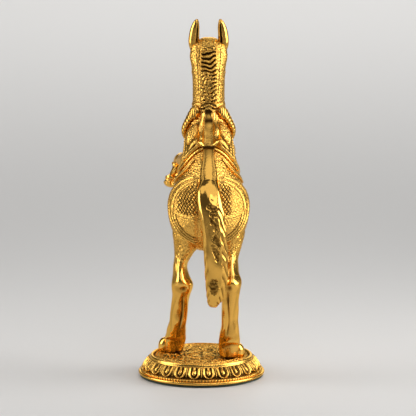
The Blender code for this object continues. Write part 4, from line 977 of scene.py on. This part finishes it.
def face_relief(share, angle):
    """Heights of the face: bells at a share along the head and an angle from the forehead."""
    turn = from_spine(angle)
    eye_along, eye_round = (share - EYE[0]) * 50.0, (turn - EYE[1]) * 9.0
    cheek = 0.3 * hump(share - 0.32, 0.10) * hump(turn - 1.95, 0.40)
    brow = 0.6 * hump(share - 0.335, 0.045) * hump(turn - 0.80, 0.20)
    lids = 0.7 * hump(np.hypot(eye_along, eye_round) - 2.3, 0.45)
    ball = np.sqrt(unit(1.0 - (eye_along / 2.0) ** 2 - (eye_round / 1.6) ** 2))
    crest = 0.5 * hump(turn - 1.30, 0.12) * window(share, 0.42, 0.50, 0.66, 0.76)
    nostril = np.hypot((share - NOSTRIL[0]) * 31.0, (turn - NOSTRIL[1]) * 6.0)
    flare = 0.7 * hump(nostril - 1.25, 0.45) - 1.3 * hump(nostril, 0.75)
    mouth = -0.6 * hump(turn - 1.95 + 0.8 * (share - 0.9), 0.07) * step(0.76, 0.82, share)
    lip = 0.35 * hump(turn - 2.15, 0.12) * step(0.82, 0.88, share)
    return (cheek + brow + lids + ball + crest + flare + mouth + lip) * MM


rows, around = ramp(0.0, 1.0, 170), spokes(150)
face = face_relief(rows, around)
head_mesh = tube_mesh(domed(head.skin(rows, around, face), 1.6 * MM))
add_piece("horse_head", head_mesh, dome_values(unit(-face / (0.8 * MM))), 0.1, polished_gold, "gold", "head")

# %% Ears
EAR_HEIGHT, EAR_RADIUS, EAR_WALL = 0.0221, 0.0028, 0.0008
EAR_SPACING, EAR_TIP_SPACING, EAR_FOOT_IN = 0.0099, 0.0077, 0.0012
EAR_Y, EAR_FOOT_Z = HEAD_Y + 0.0040, POLL_Z - 0.0085
EAR_OPEN = math.pi - math.radians(15.0)


def curled_ear(name, hand, facing):
    """A leaf curled round an upright line: its radius swells from the foot and closes at the tip."""
    rise = ramp(0.0, 1.0, 76)
    turn = ramp(1.0, -1.0, 96).T * EAR_OPEN
    foot = unit(1.0 - rise / 0.4) ** 2
    swell = np.clip((1.0 - rise ** 3) ** 0.55, 0.05, 1.0) * (1.0 - 0.4 * foot)
    lean = hand * ((EAR_TIP_SPACING - EAR_SPACING) * rise ** 2.5 - EAR_FOOT_IN * foot)
    way = (-hand * math.sin(math.radians(facing)), -math.cos(math.radians(facing)))
    lip = 0.22 * MM * hump(np.abs(turn) - EAR_OPEN, 0.16) * (1.0 - rise)

    def shell(radius):
        """The leaf at a radius from its line."""
        x = MID_X + hand * EAR_SPACING + lean - radius * (np.cos(turn) * way[0] + np.sin(turn) * way[1])
        y = EAR_Y - radius * (np.cos(turn) * way[1] - np.sin(turn) * way[0])
        return np.stack((x, y, EAR_FOOT_Z + EAR_HEIGHT * rise + 0.0 * turn), -1)

    radius = EAR_RADIUS * swell + 0.0 * turn
    wall = EAR_WALL * (0.45 + 0.55 * unit((1.0 - rise) / 0.25))
    recess = np.concatenate((np.full(radius.size, 0.9), np.zeros(radius.size)))
    leaf = slab_mesh(shell(radius), shell(radius + wall + lip))
    add_piece(name + "_curled", leaf, recess, 0.1, polished_gold, "gold", name)


curled_ear("ear_left", -1, 36.0)
curled_ear("ear_right", 1, 24.0)

# %% Forelock and bridle
FORELOCK_START, FORELOCK_END, FORELOCK_REACH = 0.20, 0.46, 0.34
NOSEBAND, BRIDLE_WIDTH = 0.66, 0.0026
share, across = ramp(FORELOCK_START, FORELOCK_END, 90), ramp(-1.0, 1.0, 60).T
down = (share - FORELOCK_START) / (FORELOCK_END - FORELOCK_START)
angle = FORELOCK_REACH * np.cos(0.47 * math.pi * down) * across
strand = lines(across * 3.5 + 1.2 * share, 1.0)
height = (0.3 + 1.2 * (1.0 - 0.6 * across ** 2) + 0.30 * strand) * MM
forelock = sheet_on(head, share, angle, 0.0 * height, height)
add_piece("forelock_lock", forelock, outer_values(0.8 * (1.0 - strand)), 0.1, deep_gold, "engraved_gold",
          "forelock")

angle = np.linspace(-math.pi, math.pi, 200)
strap("noseband_lined", "bridle_noseband", head, NOSEBAND + 0.0 * angle, angle, BRIDLE_WIDTH, 0.7 * MM,
      face_relief(NOSEBAND, angle) + 0.2 * MM)
share = np.linspace(NOSEBAND - 0.038, 0.30, 90)
angle = math.radians(104.0) - math.radians(16.0) * np.linspace(0.0, 1.0, 90) ** 2
for name, hand in (("bridle_cheek_left", -1), ("bridle_cheek_right", 1)):
    strap(name + "_lined", name, head, share, hand * angle, BRIDLE_WIDTH, 0.4 * MM,
          face_relief(share, angle) + 0.05 * MM)

# %% [markdown]
# ## Legs
# The hind legs stand, the forelegs are raised and folded. Each is a loft too: a hoof, a pastern, the long
# cannon with a tendon behind it, the hock and the thigh. The tendon's groove, the point of the hock and the
# ridge above the hoof are bells on that skin, and a rounded toe turns outward at each standing hoof.

# %% Hind leg sections
HOOF, FETLOCK, CANNON, HOCK, GASKIN, THIGH = 0.0066, 0.0064, 0.0056, 0.0066, 0.0047, 0.0097
HOOF_Z, HIP_Z, HIP_Y, HIP_SPREAD = 0.0137, 0.1050, -0.0045, 0.0138
HEEL_Z, BRIM_Z, BRIM_WAVE = 0.0195, 0.0225, 0.0030
LOWER_LEG = (
    # height share from hoof to hock, forward share, half width, half depth
    (0.00, 0.00, 0.94 * HOOF, 1.20 * HOOF), (0.07, 0.01, HOOF, 1.22 * HOOF),
    (0.15, 0.09, 1.04 * HOOF, 1.12 * HOOF), (0.23, 0.24, 1.06 * FETLOCK, 1.02 * FETLOCK),
    (0.32, 0.38, FETLOCK, 1.04 * FETLOCK), (0.45, 0.56, CANNON, CANNON), (0.64, 0.71, CANNON, 0.96 * CANNON),
    (0.82, 0.88, CANNON, 1.08 * CANNON), (1.00, 1.00, HOCK, 1.25 * HOCK))
UPPER_LEG = (
    # height share from hock to hip, forward share, sideways share, half width, half depth
    (0.14, 0.22, -0.25, 1.12 * GASKIN, 1.70 * GASKIN), (0.28, 0.52, -0.40, GASKIN, 1.85 * GASKIN),
    (0.42, 0.80, 0.10, 1.18 * GASKIN, 2.25 * GASKIN), (0.58, 0.97, 0.85, 0.84 * THIGH, 1.40 * THIGH),
    (0.78, 1.00, 1.00, THIGH, 1.60 * THIGH), (1.00, 1.00, 1.00, 0.93 * THIGH, 1.50 * THIGH))
TOE_HALF, TOE_DEEP, TOE_HEIGHT, TOE_OUT, TOE_AHEAD = 0.0044, 0.0050, 0.0092, 0.0058, 0.0020
TOE = (
    # height share, share of the way back to the hoof, size
    (0.00, 0.00, 0.94), (0.30, 0.00, 1.00), (0.62, 0.05, 0.94), (0.86, 0.15, 0.72), (1.00, 0.30, 0.30))


def leg_relief(z, turn, inner, hock_z):
    """Tendon, hock, fetlock and hoof: bells in height and in the angle from the back of the leg."""
    shin = window(z, 0.027, 0.036, hock_z - 0.012, hock_z - 0.003)
    bend = inner + 0.10 * np.sin(190.0 * z)
    tendon = -0.9 * shin * hump(turn - bend, 0.15) - 0.3 * shin * hump(turn + 2.2 * bend, 0.25)
    cord = 0.6 * shin * hump(turn - 2.8 * bend, 0.30) + 0.3 * shin * hump(turn + bend, 0.30)
    point = 1.1 * hump(z - hock_z - 0.0035, 0.0040) * hump(turn + 0.3 * inner, 0.55)
    notch = -0.8 * hump(z - hock_z + 0.0015, 0.0016) * hump(turn - 0.5 * inner, 0.30)
    knobs = 0.6 * hump(z - hock_z, 0.006) * (hump(turn - 1.3, 0.5) + hump(turn + 1.3, 0.5))
    string = 0.8 * hump(z - hock_z - 0.011, 0.006) * hump(turn, 0.35)
    brim = BRIM_Z + BRIM_WAVE * np.cos(1.3 * (turn + 1.4 * inner))
    fetlock = 0.45 * hump(z - brim, 0.0012) - 0.40 * hump(z - brim + 0.0022, 0.0011)
    fetlock = fetlock * hump(turn + inner, 1.0)
    heel = hump(z - HEEL_Z, 0.0040) * hump(turn - 2.0 * inner, 0.45)
    tuft = heel * (0.40 * lines(turn * 4.5 + 170.0 * z, 1.0) - 0.25)
    sole = -0.7 * (1.0 - step(0.0138, 0.0156, z))
    sole = sole - 0.8 * (1.0 - step(0.0150, 0.0200, z)) * hump(turn - inner, 0.16)
    return tendon + cord + point + notch + knobs + string + fetlock + tuft + sole


# %% Hind legs
def hind_leg(name, hand, inner, hoof, hock):
    """The leg's loft with its tendons, and the toe's dome joined to it in one mesh."""
    hip_x = MID_X + hand * HIP_SPREAD
    rows = [(hoof[0] + rise * (hock[0] - hoof[0]), hoof[1] + ahead * (hock[1] - hoof[1]),
             HOOF_Z + rise * (hock[2] - HOOF_Z), half, depth) for rise, ahead, half, depth in LOWER_LEG]
    rows += [(hock[0] + sideways * (hip_x - hock[0]), hock[1] + ahead * (HIP_Y - hock[1]),
              hock[2] + rise * (HIP_Z - hock[2]), half, depth)
             for rise, ahead, sideways, half, depth in UPPER_LEG]
    leg = Loft(rows)
    share, angle = ramp(0.0, 1.0, 340), spokes(140)
    z = leg.section(share)[..., 2]
    thigh = step(hock[2] + 0.012, hock[2] + 0.020, z) + 0.0 * angle
    marks = pebble(leg.point(share, angle), 1.8 * MM, 41)
    soft = pebble(leg.point(share, angle), 9.0 * MM, 42)
    relief = leg_relief(z, signed(angle), inner, hock[2])
    points, faces = tube_mesh(leg.skin(share, angle, (relief + 0.14 * soft + 0.14 * thigh * marks) * MM))
    toe = Loft([(hoof[0] + hand * TOE_OUT * (1.0 - back), hoof[1] + TOE_AHEAD * (1.0 - back),
                 HOOF_Z + rise * TOE_HEIGHT, size * TOE_HALF, size * TOE_DEEP) for rise, back, size in TOE])
    toe_grid = toe.skin(ramp(0.0, 1.0, 40), angle, 0.0 * angle)
    toe_points, toe_faces = tube_mesh(domed(toe_grid, 0.4 * MM))
    faces += [[corner + len(points) for corner in face] for face in toe_faces]
    recess = unit(-1.1 * relief) + 0.3 * unit(-soft) + 0.4 * thigh * unit(-marks)
    plain = np.zeros(len(toe_points))
    mesh_parts = (np.concatenate((points, toe_points)), faces)
    add_piece(name + "_chased", mesh_parts, np.concatenate((recess.ravel(), plain)),
              np.concatenate((0.05 + 0.6 * thigh.ravel(), plain)), polished_gold, "gold", name)


hind_leg("hind_leg_left", -1, 0.32, (-0.0182, 0.0090), (-0.0124, -0.0125, 0.0625))
hind_leg("hind_leg_right", 1, -0.24, (0.0180, -0.0085), (0.0190, -0.0240, 0.0655))

# %% Forelegs
KNEE, FORE_HOOF, FORE_INSET = 0.0048, 0.0043, 0.45
SHOULDER_OUT, SHOULDER_Y, SHOULDER_Z = 0.0080, 0.0330, 0.1345
FOREARM = (
    # share of the way to the knee, half width, half depth
    (0.00, 1.75, 2.00), (0.35, 1.60, 1.75), (0.70, 1.12, 1.20), (0.93, 1.00, 1.05))
FORE_CANNON = (
    # share of the way to the hoof, bulge over the knee, half width, half depth
    (0.00, 1.0, 1.00, 0.98), (0.28, 0.8, 0.82, 0.84), (0.58, 0.3, 0.70, 0.70), (0.76, 0.0, 0.86, 0.86))
FORE_FOOT = ((0.84, 0.86), (0.95, 1.00), (1.00, 0.82))


def foreleg(name, hand, knee, hoof):
    """Forearm from the shoulder to the knee and cannon folded back to the hoof, in one loft."""
    shoulder = np.array((MID_X + hand * SHOULDER_OUT, SHOULDER_Y, SHOULDER_Z))
    knee, hoof = np.array(knee), np.array(hoof)
    upper, lower = knee - shoulder, hoof - knee
    over = np.array((0.0, 0.06, -0.10)) * np.linalg.norm(upper)
    rows = [(*(shoulder + way * upper), half * KNEE, depth * KNEE) for way, half, depth in FOREARM]
    rows += [(*(knee + way * lower + bulge * over), half * KNEE, depth * KNEE)
             for way, bulge, half, depth in FORE_CANNON]
    rows += [(*(knee + way * lower), size * FORE_HOOF, size * FORE_HOOF) for way, size in FORE_FOOT]
    leg = Loft(rows, level=False)
    share, angle = ramp(0.0, 1.0, 260), spokes(110)
    turn = signed(angle)
    tendon = -0.5 * window(share, 0.46, 0.52, 0.62, 0.68) * (hump(turn - 1.3, 0.3) + hump(turn + 1.3, 0.3))
    rings = 0.55 * hump(share - 0.705, 0.018) - 0.35 * hump(share - 0.755, 0.014)
    rings = rings + 0.45 * hump(share - 0.80, 0.016)
    elbow = 0.5 * hump(share - 0.20, 0.08) * hump(np.abs(turn) - 1.5, 0.5)
    relief = tendon + rings + elbow + 0.12 * pebble(leg.point(share, angle), 6.0 * MM, 51)
    leg_mesh = tube_mesh(domed(leg.skin(share, angle, (relief - FORE_INSET) * MM), 0.9 * MM))
    recess = dome_values(unit(-1.6 * relief))
    add_piece(name + "_chased", leg_mesh, recess, 0.1, polished_gold, "gold", name)


foreleg("foreleg_left", -1, (MID_X - 0.0194, 0.0700, 0.1300), (MID_X - 0.0267, 0.0620, 0.1141))
foreleg("foreleg_right", 1, (MID_X + 0.0135, 0.0740, 0.1380), (MID_X + 0.0120, 0.0610, 0.1180))

# %% [markdown]
# ## Tail
# The tail grows out of the croup as a ridge, turns over and hangs in one thick lock: mirror-bright down the
# middle, with ragged hollows whose dark colour is a painted reflection, and twisted strands along its edges.
# It is a loft along its own path. The strands are grooves whose angle turns with the way down, which gives a
# twist that no straight texture would.

# %% Tail lock
ROOT_HALF, LOCK_HALF, TAIL_DRIFT, TAIL_BEHIND = 0.0064, 0.0078, 0.0048, 0.0112
TAIL_ROOT_Z, TAIL_TIP_Z, DOCK_RISE = 0.1270, 0.0530, 0.0102
DOCK = (
    # back share from the root to the hanging lock, rise share, shares of the root's half width and depth
    (-0.98, 1.00, 0.85, 0.56), (-0.26, 0.51, 0.98, 0.68), (0.34, -0.08, 1.12, 0.78))
HANGING_LOCK = (
    # back share, share of the way down to the tip, drift share, shares of the lock's half width and depth
    (0.76, 0.122, 0.30, 1.04, 0.70), (0.99, 0.270, 0.72, 0.98, 0.74), (1.05, 0.446, 0.90, 1.00, 0.74),
    (1.02, 0.600, 1.00, 0.98, 0.72), (0.95, 0.760, 1.00, 0.90, 0.66), (0.90, 0.890, 0.85, 0.72, 0.54),
    (0.88, 0.955, 0.66, 0.50, 0.40), (0.86, 0.985, 0.60, 0.37, 0.32))
root_y = float(trunk.point(trunk.share_at(TAIL_ROOT_Z), 0.0)[1])
hang, fall = BUTTOCK_Y - TAIL_BEHIND - root_y, TAIL_ROOT_Z - TAIL_TIP_Z
tail_rows = [(MID_X, root_y + back * hang, TAIL_ROOT_Z + rise * DOCK_RISE,
              half * ROOT_HALF, depth * ROOT_HALF) for back, rise, half, depth in DOCK]
tail_rows += [(MID_X + drift * TAIL_DRIFT, root_y + back * hang, TAIL_ROOT_Z - down * fall,
               half * LOCK_HALF, depth * LOCK_HALF) for back, down, drift, half, depth in HANGING_LOCK]
tail = Loft(tail_rows, level=False)
print("tail hangs", round(-hang / MM, 1), "mm behind its root")

# %% Tail strands
# Shallow dents: the dents are real relief, and their dark colour is a painted reflection.
PAINTED_REFLECTION_HOLLOWS = (
    # share of the way down, length, place across, width
    (0.335, 0.066, 0.08, 0.50), (0.505, 0.084, 0.05, 0.38), (0.745, 0.080, -0.22, 0.52))
TAIL_INSET, LOCK_INSET = 0.60, 0.20
share, angle = ramp(0.0, 1.0, 420), spokes(200)
right = np.sin(angle) + 0.0 * share
below = window(share, 0.28, 0.40, 0.95, 0.99)
dents = sum(hump(share - place, length) * hump(right - beside, width)
            for place, length, beside, width in PAINTED_REFLECTION_HOLLOWS)
skin_points = tail.point(share, angle)
soft = pebble(skin_points, 10.0 * MM, 61)
ragged, pitted = pebble(skin_points, 4.5 * MM, 62), pebble(skin_points, 1.9 * MM, 63)
# Real dents 0.6 mm deep; their dark tone in the recess value is a painted reflection.
hollow_and_painted_reflection = step(0.34, 0.70, dents * (1.0 + 0.45 * ragged + 0.16 * pitted) * step(0.0, 0.4, -np.cos(angle)))
strand_side = step(0.44, 0.60, right)
strand = np.abs(np.sin(4.0 * angle + 46.0 * share)) ** 0.8
left_side = step(0.62, 0.76, -right) * step(0.46, 0.60, share)
left_strand = np.abs(np.sin(4.0 * angle - 40.0 * share)) ** 0.8
rim = hump(right + 0.78, 0.11) + 1.3 * hump(right - 0.46, 0.10)
lobe = hump(share - 0.20, 0.07) * (hump(right + 0.85, 0.25) + 0.8 * hump(right - 0.85, 0.25))
inset = (TAIL_INSET + LOCK_INSET * step(0.28, 0.40, share)) * (1.0 - 0.85 * np.abs(right) ** 3)
relief = below * (strand_side * (0.60 * strand - 0.30) + 0.40 * rim + left_side * (0.40 * left_strand - 0.25))
relief = relief - hollow_and_painted_reflection * (0.60 + 0.20 * pitted) + 0.30 * below * soft + 0.9 * lobe - inset
# Patina in the strand grooves, and painted dark reflection in the dents.
tail_patina_and_painted_reflection = below * (0.9 * strand_side * (1.0 - strand) + 0.7 * left_side * (1.0 - left_strand))
tail_patina_and_painted_reflection = tail_patina_and_painted_reflection + hollow_and_painted_reflection * (0.78 - 0.22 * pitted)
tail_grid = domed(tail.skin(share, angle, relief * MM), 1.2 * MM)
add_piece("tail_lock", tube_mesh(tail_grid), dome_values(tail_patina_and_painted_reflection), 0.03, mirror_gold, "gold", "tail")

# %% [markdown]
# ## Fixings and felt
# Under the disc, nuts and washers draw each hoof down on a threaded stud, and a felt pad closes the foot.
# Their shapes in the frame are right as they are, so only their finishes change: brushed zinc for the steel,
# and a short dark green nap for the felt.


# %% Steel and felt
def plain_finish(name, dark, light, scale, metallic, roughness, lift):
    """A finish whose tone and bump come from one fine cloud on object coordinates."""
    material, tree, shader = new_material(name, metallic, roughness)
    cloud = cloudy(tree, scale, 6.0)
    tree.links.new(colour_mix(tree, cloud, (*dark, 1.0), (*light, 1.0)), shader.inputs["Base Color"])
    raise_bump(tree, shader, cloud, lift, 0.0004)
    return material


zinc = plain_finish("brushed_zinc", (0.42, 0.43, 0.45), (0.66, 0.67, 0.68), 1400.0, 1.0, 0.35, 0.2)
felt = plain_finish("green_felt", (0.020, 0.030, 0.022), (0.060, 0.085, 0.062), 2600.0, 0.0, 0.95, 0.8)
for node_name, cad_node in frame["nodes"].items():
    if node_name.startswith(("felt_pad", "hoof_stud", "stud_washer", "stud_nut")):
        cad_node.data.materials.clear()
        cad_node.data.materials.append(felt if node_name == "felt_pad" else zinc)
        print(node_name, "has", cad_node.data.materials[0].name)
